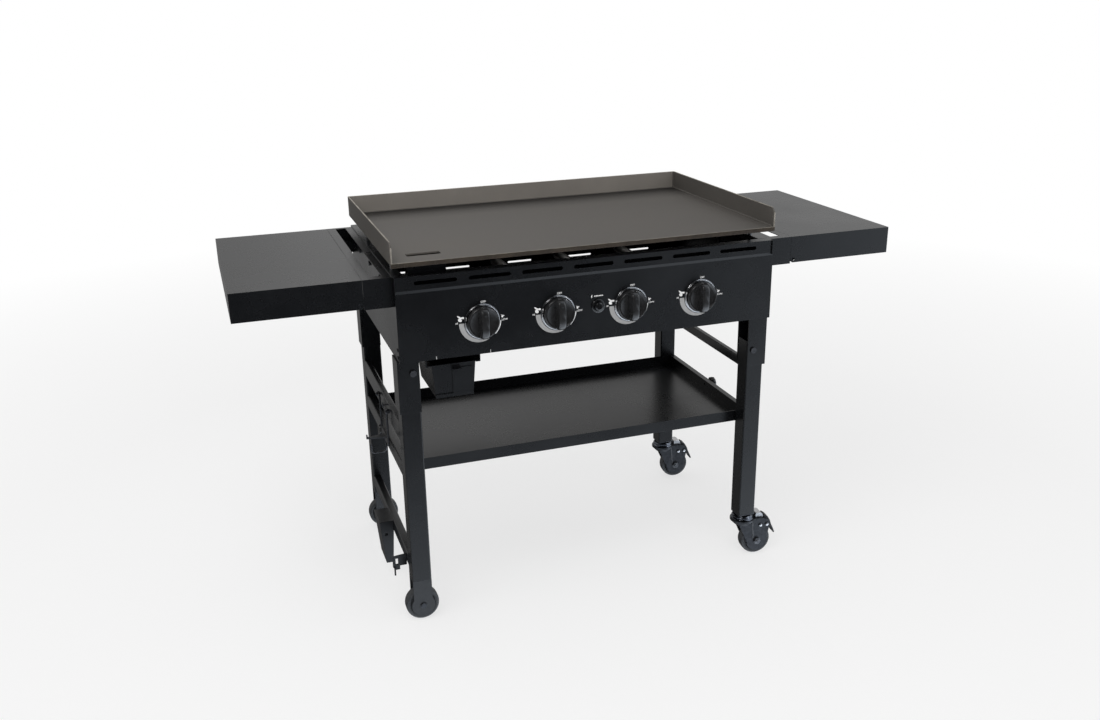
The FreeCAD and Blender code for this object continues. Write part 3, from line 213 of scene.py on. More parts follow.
def seasonedSteel(place):
    # rolled steel: soft clouds, fine grain along the roll, bare metal on the wall tops and the front lip that
    # is also a painted highlight, painted shade on the far end and the lip's face, and painted light on the
    # rear wall
    p = griddleLook
    low, high = (Vector(c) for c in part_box("griddle_plate"))
    x, y, z = (place.part(k) for k in range(3))
    top = cookingHeight
    clouds = place.noise(3.2, 5.0, 0.6)
    grain = place.noise(240, 3.0, 0.7, stretch=(0.25, 1, 1))
    speck = place.noise(900, 2.0)
    # the wall tops and the front lip's upper edge are bare metal, painted lighter as a highlight on those
    # edges
    tops = z.ramp(high.z - p["highlightBand"], high.z - p["hair"])
    lip = (y < low.y + p["lipLine"]) * z.ramp(top - p["lipLine"], top - p["hair"])
    bareAndHighlight = (tops + lip).clamped() * (0.35 + 0.65 * place.noise(45, 3.0).ramp(0.35, 0.6))
    # painted shade darkens the plate's far end, and painted light lightens the rear wall
    far = y.ramp(*p["far"]) * (z < top + p["wallFoot"])
    wall = (y > high.y - p["wallSheet"]) * (z > top + p["wallFoot"])
    tone = 1 - (1 - p["rearShade"]) * far + (p["rearWallPaintedLight"] - 1) * wall
    body = clouds.ramp(0.3, 0.72).blend(p["dark"], p["steel"]).scaled(tone)
    # painted shade darkens the lip's face to a dark brown, in patches of two tones
    face = (y < low.y + p["lipFace"]) * (z < top - p["skin"])
    shadedLip = place.noise(26, 4.0, 0.6).ramp(0.35, 0.7).blend(p["lipShadeDark"], p["lipShadePale"])
    flecked = (speck.ramp(0.62, 0.78) * 0.25).blend(face.blend(body, shadedLip), p["bareAndHighlight"])
    # the drain slot's sides are coloured nearly black
    (x0, y0), (x1, y1) = p["drain"]
    skin = p["skin"]
    inSlot = (x > x0 - skin) * (x < x1 + skin) * (y > y0 - skin) * (y < y1 + skin) * (z < top - skin)
    return {"Base Color": bareAndHighlight.blend(inSlot.blend(flecked, p["slotDark"]), p["bareAndHighlight"]),
            "Metallic": p["metallic"] + 0.08 * clouds + 0.5 * bareAndHighlight,
            "Specular IOR Level": 0.3,
            "Roughness": p["gloss"] + 0.14 * clouds.ramp(0.25, 0.75) + 0.06 * grain,
            "Normal": (grain * 0.6 + speck * 0.4).bump(0.35, 0.00006)}


def plainMetal(colour, darker, rough, metallic=1.0, scale=120, swing=0.12, depth=0.00004):
    # two tones in patches, rougher where they are lighter, over a finer grain
    def recipe(place):
        patches = place.noise(scale, 4.0, 0.6)
        return {"Base Color": patches.ramp(0.3, 0.7).blend(darker, colour),
                "Metallic": metallic,
                "Roughness": rough + swing * patches,
                "Normal": place.noise(scale * 9, 2.0).bump(0.2, depth)}
    return recipe


def plainPlastic(colour, lighter, rough, scale=90, swing=0.1, grain=800, depth=0.00003):
    # the same without metal: plastic, rubber, glaze, paint and print
    def recipe(place):
        patches = place.noise(scale, 3.0, 0.55)
        return {"Base Color": patches.ramp(0.35, 0.75).blend(colour, lighter),
                "Roughness": rough + swing * patches,
                "Normal": place.noise(grain, 2.0).bump(0.25, depth)}
    return recipe


metals = {
    "zincPlate": {"colour": rgb(0.66, 0.66, 0.67), "darker": rgb(0.46, 0.46, 0.47), "rough": 0.26},
    "blackZinc": {"colour": rgb(0.085, 0.085, 0.09), "darker": rgb(0.045, 0.045, 0.048), "rough": 0.32,
                  "metallic": 0.9},
    "casterGrey": {"colour": rgb(0.060, 0.063, 0.070), "darker": rgb(0.032, 0.034, 0.038), "rough": 0.30,
                   "metallic": 0.75},
    "boltGrey": {"colour": rgb(0.20, 0.21, 0.22), "darker": rgb(0.09, 0.09, 0.10), "rough": 0.24,
                 "metallic": 0.9},
    # a lighter copy of the caster grey: a painted highlight along the fork's creases
    "creaseHighlightGrey": {"colour": rgb(0.115, 0.118, 0.125), "darker": rgb(0.080, 0.083, 0.088), "rough": 0.36,
                   "metallic": 0.6},
    "raceSteel": {"colour": rgb(0.16, 0.17, 0.19), "darker": rgb(0.09, 0.095, 0.11), "rough": 0.10},
    "stainless": {"colour": rgb(0.50, 0.49, 0.47), "darker": rgb(0.36, 0.35, 0.33), "rough": 0.32},
    "pipeSteel": {"colour": rgb(0.55, 0.55, 0.56), "darker": rgb(0.40, 0.40, 0.41), "rough": 0.38},
    "brass": {"colour": rgb(0.56, 0.40, 0.15), "darker": rgb(0.38, 0.26, 0.09), "rough": 0.30},
    "chrome": {"colour": rgb(0.74, 0.74, 0.75), "darker": rgb(0.64, 0.64, 0.65), "rough": 0.08, "scale": 40},
    "aluminised": {"colour": rgb(0.52, 0.52, 0.51), "darker": rgb(0.40, 0.40, 0.39), "rough": 0.45,
                   "metallic": 0.25},
}
plastics = {
    "knobGloss": {"colour": rgb(0.014, 0.014, 0.0145), "lighter": rgb(0.020, 0.020, 0.021), "rough": 0.16,
                  "depth": 0.000008},
    "pointerBlack": {"colour": rgb(0.002, 0.002, 0.002), "lighter": rgb(0.004, 0.004, 0.004), "rough": 0.6},
    "buttonGloss": {"colour": rgb(0.004, 0.004, 0.0045), "lighter": rgb(0.008, 0.008, 0.0085), "rough": 0.14,
                    "depth": 0.00001},
    "pedalBlack": {"colour": rgb(0.003, 0.003, 0.0035), "lighter": rgb(0.006, 0.006, 0.0065), "rough": 0.46},
    "tyreGrey": {"colour": rgb(0.028, 0.030, 0.033), "lighter": rgb(0.042, 0.045, 0.048), "rough": 0.46},
    "hubGrey": {"colour": rgb(0.038, 0.041, 0.044), "lighter": rgb(0.052, 0.055, 0.059), "rough": 0.38},
    "forkGrey": {"colour": rgb(0.016, 0.0173, 0.0193), "lighter": rgb(0.0225, 0.024, 0.0265), "rough": 0.38},
    "ceramic": {"colour": rgb(0.72, 0.70, 0.64), "lighter": rgb(0.80, 0.78, 0.73), "rough": 0.2},
    "leadRubber": {"colour": rgb(0.012, 0.012, 0.012), "lighter": rgb(0.022, 0.022, 0.022), "rough": 0.5},
    "printWhite": {"colour": rgb(0.74, 0.74, 0.74), "lighter": rgb(0.80, 0.80, 0.80), "rough": 0.42},
    "printGrey": {"colour": rgb(0.32, 0.32, 0.32), "lighter": rgb(0.37, 0.37, 0.37), "rough": 0.42},
}
makeFinish("blackPowderCoat", blackPowderCoat)
makeFinish("seasonedSteel", seasonedSteel)
for name, look in metals.items():
    makeFinish(name, plainMetal(**look))
for name, look in plastics.items():
    makeFinish(name, plainPlastic(**look))
# the part's material slot that a finish belongs to
slotOf = {"blackPowderCoat": "black_sheet", "seasonedSteel": "griddle_steel", "zincPlate": "zinc_steel",
          "blackZinc": "zinc_steel", "casterGrey": "caster_steel", "chrome": "bezel_chrome",
          "knobGloss": "knob_plastic", "pointerBlack": "knob_plastic", "buttonGloss": "knob_plastic",
          "tyreGrey": "wheel_rubber", "hubGrey": "wheel_rubber", "pedalBlack": "pedal_plastic"}
print("finishes:", len(finishes))


def gridFaces(rows, cols, closeRows=False, closeCols=False):
    # quads between neighbouring points of a rows x cols grid; a closed direction wraps round
    r = np.arange(rows if closeRows else rows - 1)[:, None]
    c = np.arange(cols if closeCols else cols - 1)[None, :]
    nextR, nextC = (r + 1) % rows, (c + 1) % cols
    corners = [r * cols + c, r * cols + nextC, nextR * cols + nextC, nextR * cols + c]
    return np.stack([np.broadcast_to(k, (r.size, c.size)) for k in corners], axis=-1).reshape(-1, 4)


def rowCaps(rows, cols):
    # one flat face over the first row and one over the last, facing as the quads do
    return [list(range(cols))[::-1], list(range((rows - 1) * cols, rows * cols))]


def colCaps(rows, cols):
    # the same for the first and last column of a grid whose rows are closed
    return [[r * cols for r in range(rows)], [r * cols + cols - 1 for r in range(rows)][::-1]]


def signedVolume(points, faces):
    # sum of tetrahedra from the middle of the mesh to each face's fan of triangles
    points = points - points.mean(axis=0)
    total = 0.0
    for i in range(1, faces.shape[1] - 1):
        a, b, c = points[faces[:, 0]], points[faces[:, i]], points[faces[:, i + 1]]
        total += np.einsum("ij,ij->i", a, np.cross(b, c)).sum()
    return total


def joined(parts):
    # several (points, faces) as one, each part's faces counted on from the points before it
    points, faces, start = [], [], 0
    for partPoints, partFaces in parts:
        points.append(partPoints)
        faces += [[k + start for k in face] for face in partFaces]
        start += len(partPoints)
    return np.concatenate(points), faces


def meshOf(name, points, faces):
    mesh = bpy.data.meshes.new(name)
    mesh.from_pydata(points.tolist(), [], faces)
    mesh.validate()
    return mesh


rounding = {"segments": 2, "weight": 100}


def roundEdges(piece, width, sharp):
    # rounds the edges that turn by more than sharp degrees; wide faces keep their own direction, so that
    # only the rounded edges between them shade over
    edge = piece.modifiers.new("edge", "BEVEL")
    edge.width = width
    edge.segments = rounding["segments"]
    edge.limit_method = "ANGLE"
    edge.angle_limit = math.radians(sharp)
    level = piece.modifiers.new("level", "WEIGHTED_NORMAL")
    level.weight = rounding["weight"]
    level.keep_sharp = True


def dressed(name, mesh, finish, body, bevel=0.0, sharp=32, stands=()):
    # stands: the CAD nodes that the piece takes the place of
    piece = bpy.data.objects.new(name, mesh)
    scene.collection.objects.link(piece)
    mesh.shade_smooth()
    mesh.set_sharp_from_angle(angle=math.radians(sharp))
    mesh.materials.append(finishes[finish])
    if bevel:
        roundEdges(piece, bevel, sharp)
    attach(piece, body)
    finish in slotOf
    if stands:
        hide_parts(*stands)


def newPiece(name, parts, finish, body, **look):
    # parts: a list of (points, quads, caps); each one is turned so that it faces outwards
    meshes = []
    for points, quads, caps in parts:
        points = np.asarray(points, float).reshape(-1, 3)
        step = -1 if signedVolume(points, quads) < 0 else 1
        meshes.append((points, quads[:, ::step].tolist() + [cap[::step] for cap in caps]))
    dressed(name, meshOf(name, *joined(meshes)), finish, body, **look)


def roundedLoop(width, height, radius, steps=6):
    # a rounded rectangle about the origin, as (a, b) points: four quarter circles joined by straights
    turn = np.linspace(0, math.pi / 2, steps + 1)
    loops = []
    for k, (sx, sy) in enumerate(((1, 1), (-1, 1), (-1, -1), (1, -1))):
        t = turn + k * math.pi / 2
        loops.append(np.stack([sx * (width / 2 - radius) + radius * np.cos(t),
                               sy * (height / 2 - radius) + radius * np.sin(t)], axis=1))
    return np.concatenate(loops)


def placed(loop, axis, centre, along):
    # a flat (a, b) loop stood across an axis: a and b fill the other two coordinates in order
    out = np.empty((len(loop), 3))
    rest = [k for k in range(3) if k != axis]
    out[:, axis] = along
    out[:, rest[0]] = centre[rest[0]] + loop[:, 0]
    out[:, rest[1]] = centre[rest[1]] + loop[:, 1]
    return out


def hollowBar(axis, low, high, radius, wall, least=0.0004):
    # a tube's outer loop run from end to end, then its inner loop run back; closed both ways; the inner
    # corners keep at least a small radius
    rest = [k for k in range(3) if k != axis]
    centre = [(a + b) / 2 for a, b in zip(low, high)]
    w, h = (high[rest[0]] - low[rest[0]], high[rest[1]] - low[rest[1]])
    outer = roundedLoop(w, h, radius)
    inner = roundedLoop(w - 2 * wall, h - 2 * wall, max(radius - wall, least))
    rows = [placed(outer, axis, centre, low[axis]), placed(outer, axis, centre, high[axis]),
            placed(inner, axis, centre, high[axis]), placed(inner, axis, centre, low[axis])]
    return np.stack(rows), gridFaces(4, len(outer), True, True), []


def lofted(loops):
    # rows of equal loops joined in order, with a flat face over each end
    rows, cols = len(loops), len(loops[0])
    return np.stack(loops), gridFaces(rows, cols, False, True), rowCaps(rows, cols)


def turned(profile, centre, axis=1, steps=72, flutes=0, depth=0.0):
    # a closed (radius, along) profile carried round an axis: (r cos t, along, r sin t);
    # flutes press the radius in by depth * cos^2 of half their number of turns, more so further out
    t = np.linspace(0, 2 * math.pi, steps, endpoint=False)[:, None]
    profile = np.asarray(profile, float)
    outer = profile[:, 0].max()
    r = profile[None, :, 0] - depth * np.cos(flutes * t / 2) ** 2 * (profile[None, :, 0] / outer) ** 6
    along = profile[None, :, 1] + 0 * t
    rest = [k for k in range(3) if k != axis]
    out = np.empty((steps, profile.shape[0], 3))
    out[..., axis] = centre[axis] + along
    out[..., rest[0]] = centre[rest[0]] + r * np.cos(t)
    out[..., rest[1]] = centre[rest[1]] + r * np.sin(t)
    return out, gridFaces(steps, profile.shape[0], True, True), []


def capped(profile, centre, axis=1, steps=48):
    # an open (radius, along) profile carried round an axis, closed at both ends by a flat disc
    t = np.linspace(0, 2 * math.pi, steps, endpoint=False)
    loops = [placed(np.stack([r * np.cos(t), r * np.sin(t)], axis=1), axis, centre, centre[axis] + along)
             for r, along in profile]
    return lofted(loops)


def plateOf(outline, front, back):
    # a flat (x, z) outline, given thickness along Y
    outline = np.asarray(outline, float)
    return lofted([placed(outline, 1, (0, 0, 0), front), placed(outline, 1, (0, 0, 0), back)])


def bandOf(inner, outer, front, back):
    # the strip between two (x, z) curves, given thickness along Y; its rows close, its ends are capped
    rows = [placed(inner, 1, (0, 0, 0), front), placed(outer, 1, (0, 0, 0), front),
            placed(outer, 1, (0, 0, 0), back), placed(inner, 1, (0, 0, 0), back)]
    return np.stack(rows), gridFaces(4, len(inner), True, False), colCaps(4, len(inner))


def rounded(points, steps=6):
    # a closed outline through a few points: Catmull-Rom arcs between each pair
    p = np.asarray(points, float)
    a, b, c, d = (np.roll(p, k, axis=0)[:, None, :] for k in (1, 0, -1, -2))
    t = np.linspace(0, 1, steps, endpoint=False)[None, :, None]
    curve = 0.5 * (2 * b + (c - a) * t + (2 * a - 5 * b + 4 * c - d) * t ** 2
                   + (3 * b - a - 3 * c + d) * t ** 3)
    return curve.reshape(-1, p.shape[1])


def tubeAlong(points, radius, sides=12, ripple=0.0, pitch=0.003):
    # a round wire along points: at each point a circle across the path, with rounded ends;
    # a ripple swells the radius in waves of one pitch, as a weld bead has
    points = np.asarray(points, float)
    ahead = np.gradient(points, axis=0)
    ahead /= np.linalg.norm(ahead, axis=1)[:, None]
    side = np.cross(ahead, [0.13, 0.29, 0.95])  # a direction that no path here runs along
    side /= np.linalg.norm(side, axis=1)[:, None]
    other = np.cross(ahead, side)
    t = np.linspace(0, 2 * math.pi, sides, endpoint=False)
    way = np.concatenate([[0], np.cumsum(np.linalg.norm(np.diff(points, axis=0), axis=1))])
    swell = 1 + ripple * np.abs(np.sin(way * math.pi / pitch))
    # each circle: its point, its shift ahead in radii, and its share of the radius
    last = len(points) - 1
    circles = [(0, -0.9, 0.45), (0, -0.5, 0.85)] + [(i, 0.0, 1.0) for i in range(len(points))]
    circles += [(last, 0.5, 0.85), (last, 0.9, 0.45)]
    rows = []
    for i, shift, share in circles:
        circle = np.cos(t)[:, None] * side[i] + np.sin(t)[:, None] * other[i]
        rows.append(points[i] + ahead[i] * shift * radius + circle * radius * share * swell[i])
    return lofted(rows)


def swung(part, turn, place):
    # a part made about the origin, turned round Z and moved to its place
    points, faces, caps = part
    c, s = math.cos(turn), math.sin(turn)
    points = np.asarray(points, float).reshape(-1, 3) @ np.array([[c, s, 0], [-s, c, 0], [0, 0, 1]])
    return points + np.asarray(place, float), faces, caps


def middle(name):
    return [(a + b) / 2 for a, b in zip(*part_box(name))]


def sideBox(name, side):
    # the lowest and highest corners of a node's solids on one side of X = 0
    mesh = nodes[name].data
    points = np.empty(len(mesh.vertices) * 3)
    mesh.vertices.foreach_get("co", points)
    points = points.reshape(-1, 3)
    points = points[points[:, 0] * side > 0]
    return points.min(axis=0), points.max(axis=0)


softening = {"merge": 0.00001, "flat": 0.5, "sharp": 30}


def softenNode(name, finish, bevel):
    # a CAD node keeps its mesh; its triangles are welded, flattened and given rounded edges
    node = nodes[name]
    node.data.shade_smooth()
    node.data.materials.clear()
    node.data.materials.append(None)
    node.material_slots[0].link = "OBJECT"
    node.material_slots[0].material = finishes[finish]
    weld = node.modifiers.new("weld", "WELD")
    weld.merge_threshold = softening["merge"]
    flat = node.modifiers.new("flat", "DECIMATE")
    flat.decimate_type = "DISSOLVE"
    flat.angle_limit = math.radians(softening["flat"])
    roundEdges(node, bevel, softening["sharp"])


# the width of each CAD node's rounded edges, under its finish
carried = {
    "seasonedSteel": {"griddle_plate": 0.0012},
    "blackPowderCoat": {"firebox_body": 0.0005, "vent_rail": 0.0006, "control_panel": 0.0006,
                        "leg_sockets": 0.0014, "bottom_shelf": 0.0006, "shelf_left": 0.0004,
                        "shelf_right": 0.0004, "shelf_bracket_left": 0.0004, "shelf_bracket_right": 0.0004,
                        "grease_chute": 0.0004, "grease_runners": 0.0006, "grease_tray": 0.0006,
                        "bottle_rest": 0.0010, "strap_bracket": 0.0006, "heat_shield": 0.0004},
    "blackZinc": {"hanger_mounts": 0.0002, "gas_bottle_hanger": 0.0004, "leg_bolts": 0.0008,
                  "bracket_bolts": 0.0006, "panel_screws": 0.0006, "shelf_hinge_pins": 0.0004},
    "zincPlate": {"griddle_feet": 0.0004},
    "aluminised": {"burner_rest": 0.0004},
    "forkGrey": {"fixed_forks": 0.0008},
    "casterGrey": {"fork_front_right": 0.0008, "fork_rear_right": 0.0008, "fixed_axles": 0.0008},
    "stainless": {"burners": 0.0003},
    "pipeSteel": {"manifold": 0.0004},
    "brass": {"gas_inlet": 0.0004, "gas_valves": 0.0005, "valve_stem_1": 0.0002, "valve_stem_2": 0.0002,
              "valve_stem_3": 0.0002, "valve_stem_4": 0.0002},
    "buttonGloss": {"igniter_body": 0.0004, "igniter_button": 0.0012},
    "ceramic": {"electrodes": 0.0003},
    "leadRubber": {"ignition_leads": 0.0001},
    "pedalBlack": {"brake_pedal_front_right": 0.0010, "brake_pedal_rear_right": 0.0010},
}
for finish, members in carried.items():
    for name, bevel in members.items():
        softenNode(name, finish, bevel)
print("nodes finished:", sum(len(m) for m in carried.values()), "of", len(nodes))


# Legs and rails: square and flat tube with rounded corners.
tubes = {"corner": 0.0032, "wall": 0.0016, "edge": 0.0004,
         "legs": ("leg_front_left", "leg_rear_left", "leg_front_right", "leg_rear_right"),
         "railPairs": ("upper_rails", "shelf_rails")}


def makeTubes(t):
    bars = {name: [hollowBar(2, *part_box(name), t["corner"], t["wall"])] for name in t["legs"]}
    for name in t["railPairs"]:
        bars[name] = [hollowBar(1, *sideBox(name, side), t["corner"], t["wall"]) for side in (-1, 1)]
    bars["lower_rail"] = [hollowBar(1, *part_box("lower_rail"), t["corner"], t["wall"])]
    for name, parts in bars.items():
        newPiece(name + "_tube", parts, "blackPowderCoat", "station", bevel=t["edge"], stands=(name,))


makeTubes(tubes)
print("tubes made")


# Knobs: a dished disc with a raised rim, and a tapered grip bar with a pointer across it. Depths are
# measured back from the grip's front face.
knobs = ["knob_%d" % i for i in (1, 2, 3, 4)]
knobLook = {"rim": ((0.0360, 0.0290), (0.0360, 0.0215), (0.0357, 0.0198), (0.0349, 0.0186), (0.0338, 0.0181),
                    (0.0328, 0.0184), (0.0320, 0.0194), (0.0311, 0.0204), (0.0298, 0.0208), (0.0120, 0.0212)),
            "hole": 0.0032, "dish": 0.0212, "back": 0.029, "gripCorner": 0.30,
            "grip": ((0.0215, 0.0250, 0.0700), (0.0150, 0.0228, 0.0700), (0.0110, 0.0206, 0.0688),
                     (0.0075, 0.0188, 0.0660), (0.0046, 0.0174, 0.0610), (0.0026, 0.0164, 0.0540),
                     (0.0012, 0.0156, 0.0450), (0.0004, 0.0146, 0.0340), (0.0000, 0.0132, 0.0200)),
            "pointer": (0.0058, 0.0034), "pointerCorner": 0.3, "pointerRise": 0.0205,
            "pointerBack": 0.0016, "pointerProud": 0.0002, "pointerSheet": 0.0012}


def makeKnobs(k):
    for name in knobs:
        x, y, z = middle(name)
        front = (x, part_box(name)[0][1], z)
        skirt = turned(k["rim"] + ((k["hole"], k["dish"]), (k["hole"], k["back"])), front, steps=96)
        grip = [placed(roundedLoop(w, h, w * k["gripCorner"]), 1, front, front[1] + back)
                for back, w, h in k["grip"]]
        newPiece(name + "_turned", [skirt, lofted(grip)], "knobGloss", name, sharp=40, stands=(name,))
        w, h = k["pointer"]
        loop = roundedLoop(w, h, h * k["pointerCorner"]) + np.array([0, k["pointerRise"]])
        sunk = front[1] + k["pointerBack"]
        slab = [placed(loop, 1, front, sunk - k["pointerProud"] - k["pointerSheet"]),
                placed(loop, 1, front, sunk + k["pointerProud"])]
        newPiece(name + "_pointer", [lofted(slab)], "pointerBlack", name)


# Bezels: a low outer step and a tall inner ridge, turned in one ring.
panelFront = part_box("control_panel")[0][1]
bezelLook = {"ring": ((0.0370, 0.0000), (0.0405, 0.0000), (0.0405, 0.0008), (0.0403, 0.0015),
                      (0.0399, 0.0019), (0.0394, 0.0018), (0.0391, 0.0022), (0.0389, 0.0036),
                      (0.0386, 0.0050), (0.0382, 0.0058), (0.0377, 0.0060), (0.0373, 0.0056),
                      (0.0370, 0.0048))}


def ringOnPanel(ring, name, **turning):
    # a closed (radius, rise) ring turned round a node's axis, rising from the panel's front face
    x, y, z = middle(name)
    return turned([(r, -rise) for r, rise in ring], (x, panelFront, z), **turning)


def makeBezels(b):
    rings = [ringOnPanel(b["ring"], name, steps=96) for name in knobs]
    newPiece("bezel_rings", rings, "chrome", "station", sharp=40, stands=("knob_bezels",))


makeKnobs(knobLook)
makeBezels(bezelLook)
print("knobs and bezels made")


# Igniter collar: a fluted ring over the body's flange.
collarLook = {"ring": ((0.0104, 0.0000), (0.0164, 0.0000), (0.0165, 0.0024), (0.0160, 0.0036),
                       (0.0150, 0.0041), (0.0128, 0.0042), (0.0116, 0.0046), (0.0106, 0.0044)),
              "flutes": 24, "depth": 0.0007}


def makeCollar(c):
    ring = ringOnPanel(c["ring"], "igniter_button", steps=120, flutes=c["flutes"], depth=c["depth"])
    newPiece("igniter_collar", [ring], "buttonGloss", "station", sharp=45)


makeCollar(collarLook)


# Shelf thumbscrews: scalloped plastic heads with a dished face, on a steel shank. The head's profile is
# (distance out along X, radius).
thumbLook = {"head": ((0.0000, 0.0140), (0.0010, 0.0165), (0.0030, 0.0170), (0.0095, 0.0170),
                      (0.0112, 0.0162), (0.0120, 0.0145), (0.0116, 0.0120), (0.0108, 0.0100)),
             "length": 0.012, "flutes": 10, "depth": 0.0016, "bore": 0.0035, "boreEnd": 0.0104,
             "shank": 0.003, "shankLength": 0.014, "shankEnd": 0.0106}


def makeThumbscrews(t):
    parts = []
    for side in (-1, 1):
        low, high = sideBox("shelf_thumbscrews", side)
        centre = (low + high) / 2
        foot = (high[0] if side > 0 else low[0]) - side * t["length"]
        place = (foot, centre[1], centre[2])
        head = [(r, side * x) for x, r in t["head"]]
        profile = [(t["bore"], 0.0)] + head + [(t["bore"], side * t["boreEnd"])]
        shank = [(t["shank"], -side * t["shankLength"]), (t["shank"], side * t["shankEnd"])]
        parts.append(turned(profile, place, axis=0, steps=120, flutes=t["flutes"], depth=t["depth"]))
        parts.append(capped(shank, place, axis=0, steps=24))
    newPiece("shelf_thumbscrew_heads", parts, "buttonGloss", "station", sharp=40,
             stands=("shelf_thumbscrews",))


makeThumbscrews(thumbLook)
print("igniter collar and thumbscrews made")


# Wheels: a soft tread, a ring groove between tyre and hub, and a raised boss round the axle. Profiles are
# (radius, distance from the middle plane) for one half.
wheelLook = {"hub": ((0.0051, 0.0172), (0.0095, 0.0172), (0.0108, 0.0166), (0.0113, 0.0150), (0.0122, 0.0122),
                     (0.0150, 0.0112), (0.0200, 0.0108), (0.0252, 0.0112), (0.0272, 0.0121),
                     (0.0274, 0.0118)),
             "tyre": ((0.0274, 0.0100), (0.0288, 0.0100), (0.0292, 0.0122), (0.0302, 0.0130),
                      (0.0330, 0.0137), (0.0356, 0.0140), (0.0377, 0.0133), (0.0391, 0.0116),
                      (0.0398, 0.0088), (0.0400, 0.0045))}
casterTurn = math.radians(-5.0)
wheelBodies = {"wheel_front_left": ("left_front_wheel", 0.0), "wheel_rear_left": ("left_rear_wheel", 0.0),
               "wheel_front_right": ("right_front_wheel", casterTurn),
               "wheel_rear_right": ("right_rear_wheel", casterTurn)}


def bothWays(half):
    # a half profile from the middle plane outwards, made whole by its mirror image
    return list(half) + [(r, -a) for r, a in reversed(half)]


def makeWheels(w):
    for name, (body, turn) in wheelBodies.items():
        for ring, finish in (("tyre", "tyreGrey"), ("hub", "hubGrey")):
            part = swung(turned(bothWays(w[ring]), (0, 0, 0), steps=96), turn, middle(name))
            newPiece(name + "_" + ring, [part], finish, body, sharp=50, stands=(name,))


makeWheels(wheelLook)
print("wheels made")


# Swivel casters: a square plate with rounded corners, a two-rowed race and the kingpin's head below.
plateLook = {"side": 0.045, "corner": 0.004, "sheet": 0.003, "base": 0.1043, "kingpin": 0.006,
             "pinFoot": 0.0947,
             "race": ((0.0290, 0.0000), (0.0291, 0.0022), (0.0284, 0.0034), (0.0262, 0.0042),
                      (0.0258, 0.0050), (0.0276, 0.0062), (0.0282, 0.0078), (0.0276, 0.0094),
                      (0.0252, 0.0106), (0.0246, 0.0117)),
             "pin": ((0.0060, 0.0096), (0.0060, 0.0043), (0.0096, 0.0040), (0.0100, 0.0020),
                     (0.0086, 0.0000))}
# What the forks carry. X runs from the kingpin towards the axle, before the fork is swung to its place.
forkLook = {"cheek": 0.0205, "rivets": ((0.044, 0.0845), (0.062, 0.0845)),
            "rivet": ((0.0046, 0.0000), (0.0046, 0.0008), (0.0041, 0.0018), (0.0030, 0.0025),
                      (0.0015, 0.0028)),
            "axle": (0.035, 0.040), "washer": ((0.0098, 0.0000), (0.0100, 0.0006), (0.0098, 0.0012)),
            "nut": (0.0094, 0.0012, 0.0057), "nutChamfer": 0.0009, "nutTaper": 0.9,
            "stud": ((0.0050, 0.0050), (0.0050, 0.0072), (0.0042, 0.0080)),
            "tongue": ((0.0310, 0.1040), (0.0310, 0.1165), (0.0335, 0.1180), (0.0440, 0.1176),
                       (0.0490, 0.1150), (0.0512, 0.1100), (0.0515, 0.1040)),
            "tongueHalf": 0.0150, "tongueEdge": 0.0004,
            "creaseFoot": (0.0245, 0.0500), "creaseTop": (0.0205, 0.0975), "creaseRadius": 0.0017}
casters = {"front": "leg_front_right", "rear": "leg_rear_right"}


def makeCasterPlates(p):
    parts, races = [], []
    race = p["race"] + ((p["kingpin"], p["race"][-1][1]), (p["kingpin"], 0.0))
    loop = roundedLoop(p["side"], p["side"], p["corner"])
    for leg in casters.values():
        x, y, z = middle(leg)
        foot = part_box(leg)[0][2]
        parts.append(lofted([placed(loop, 2, (x, y, 0), at) for at in (foot - p["sheet"], foot)]))
        parts.append(capped(p["pin"], (x, y, p["pinFoot"]), axis=2))
        races.append(turned(race, (x, y, p["base"]), axis=2, steps=96))
    newPiece("caster_plates_turned", parts, "casterGrey", "station", bevel=0.0004, sharp=40,
             stands=("caster_plates",))
    newPiece("caster_races_turned", races, "raceSteel", "station", sharp=50, stands=("caster_plates",))


def makeCasterFittings(o):
    cheek, (ax, az) = o["cheek"], o["axle"]
    rivets = [capped([(r, side * a) for r, a in o["rivet"]], (rx, side * cheek, rz))
              for side in (-1, 1) for rx, rz in o["rivets"]]
    radius, near, far = o["nut"]
    corners = np.arange(6) * math.pi / 3
    hexagon = radius * np.stack([np.cos(corners), np.sin(corners)], axis=1)
    rows = ((1, near), (1, far - o["nutChamfer"]), (o["nutTaper"], far))
    nuts = [capped([(r, -a) for r, a in o["washer"]], (ax, -cheek, az)),
            lofted([placed(hexagon * share, 1, (ax, 0, az), -cheek - at) for share, at in rows]),
            capped([(r, -a) for r, a in o["stud"]], (ax, -cheek, az), steps=24)]
    tongue = [plateOf(o["tongue"], -o["tongueHalf"], o["tongueHalf"])]
    (fx, fz), (tx, tz) = o["creaseFoot"], o["creaseTop"]
    creases = [tubeAlong(np.linspace((fx, side * cheek, fz), (tx, side * cheek, tz), 12), o["creaseRadius"])
               for side in (-1, 1)]
    fittings = (("nut", nuts, "boltGrey", {"sharp": 35}), ("fittings", rivets, "zincPlate", {"sharp": 35}),
                ("tongue", tongue, "zincPlate", {"bevel": o["tongueEdge"]}),
                # the creases take the lighter grey, a painted highlight
                ("creases", creases, "creaseHighlightGrey", {}))
    for end, leg in casters.items():
        x, y, z = middle(leg)
        for name, parts, finish, look in fittings:
            placedParts = [swung(part, casterTurn, (x, y, 0)) for part in parts]
            newPiece("caster_%s_%s" % (name, end), placedParts, finish, "right_%s_swivel" % end, **look)


makeCasterPlates(plateLook)
makeCasterFittings(forkLook)
print("casters made")


# Weld beads where the splash walls meet each other and the plate.
weld = {"foot": 0.0020, "corner": 0.0026, "ripple": 0.22, "step": 0.0012, "wall": 0.004, "inset": 0.0006,
        "frontStop": 0.010, "topStop": 0.003}


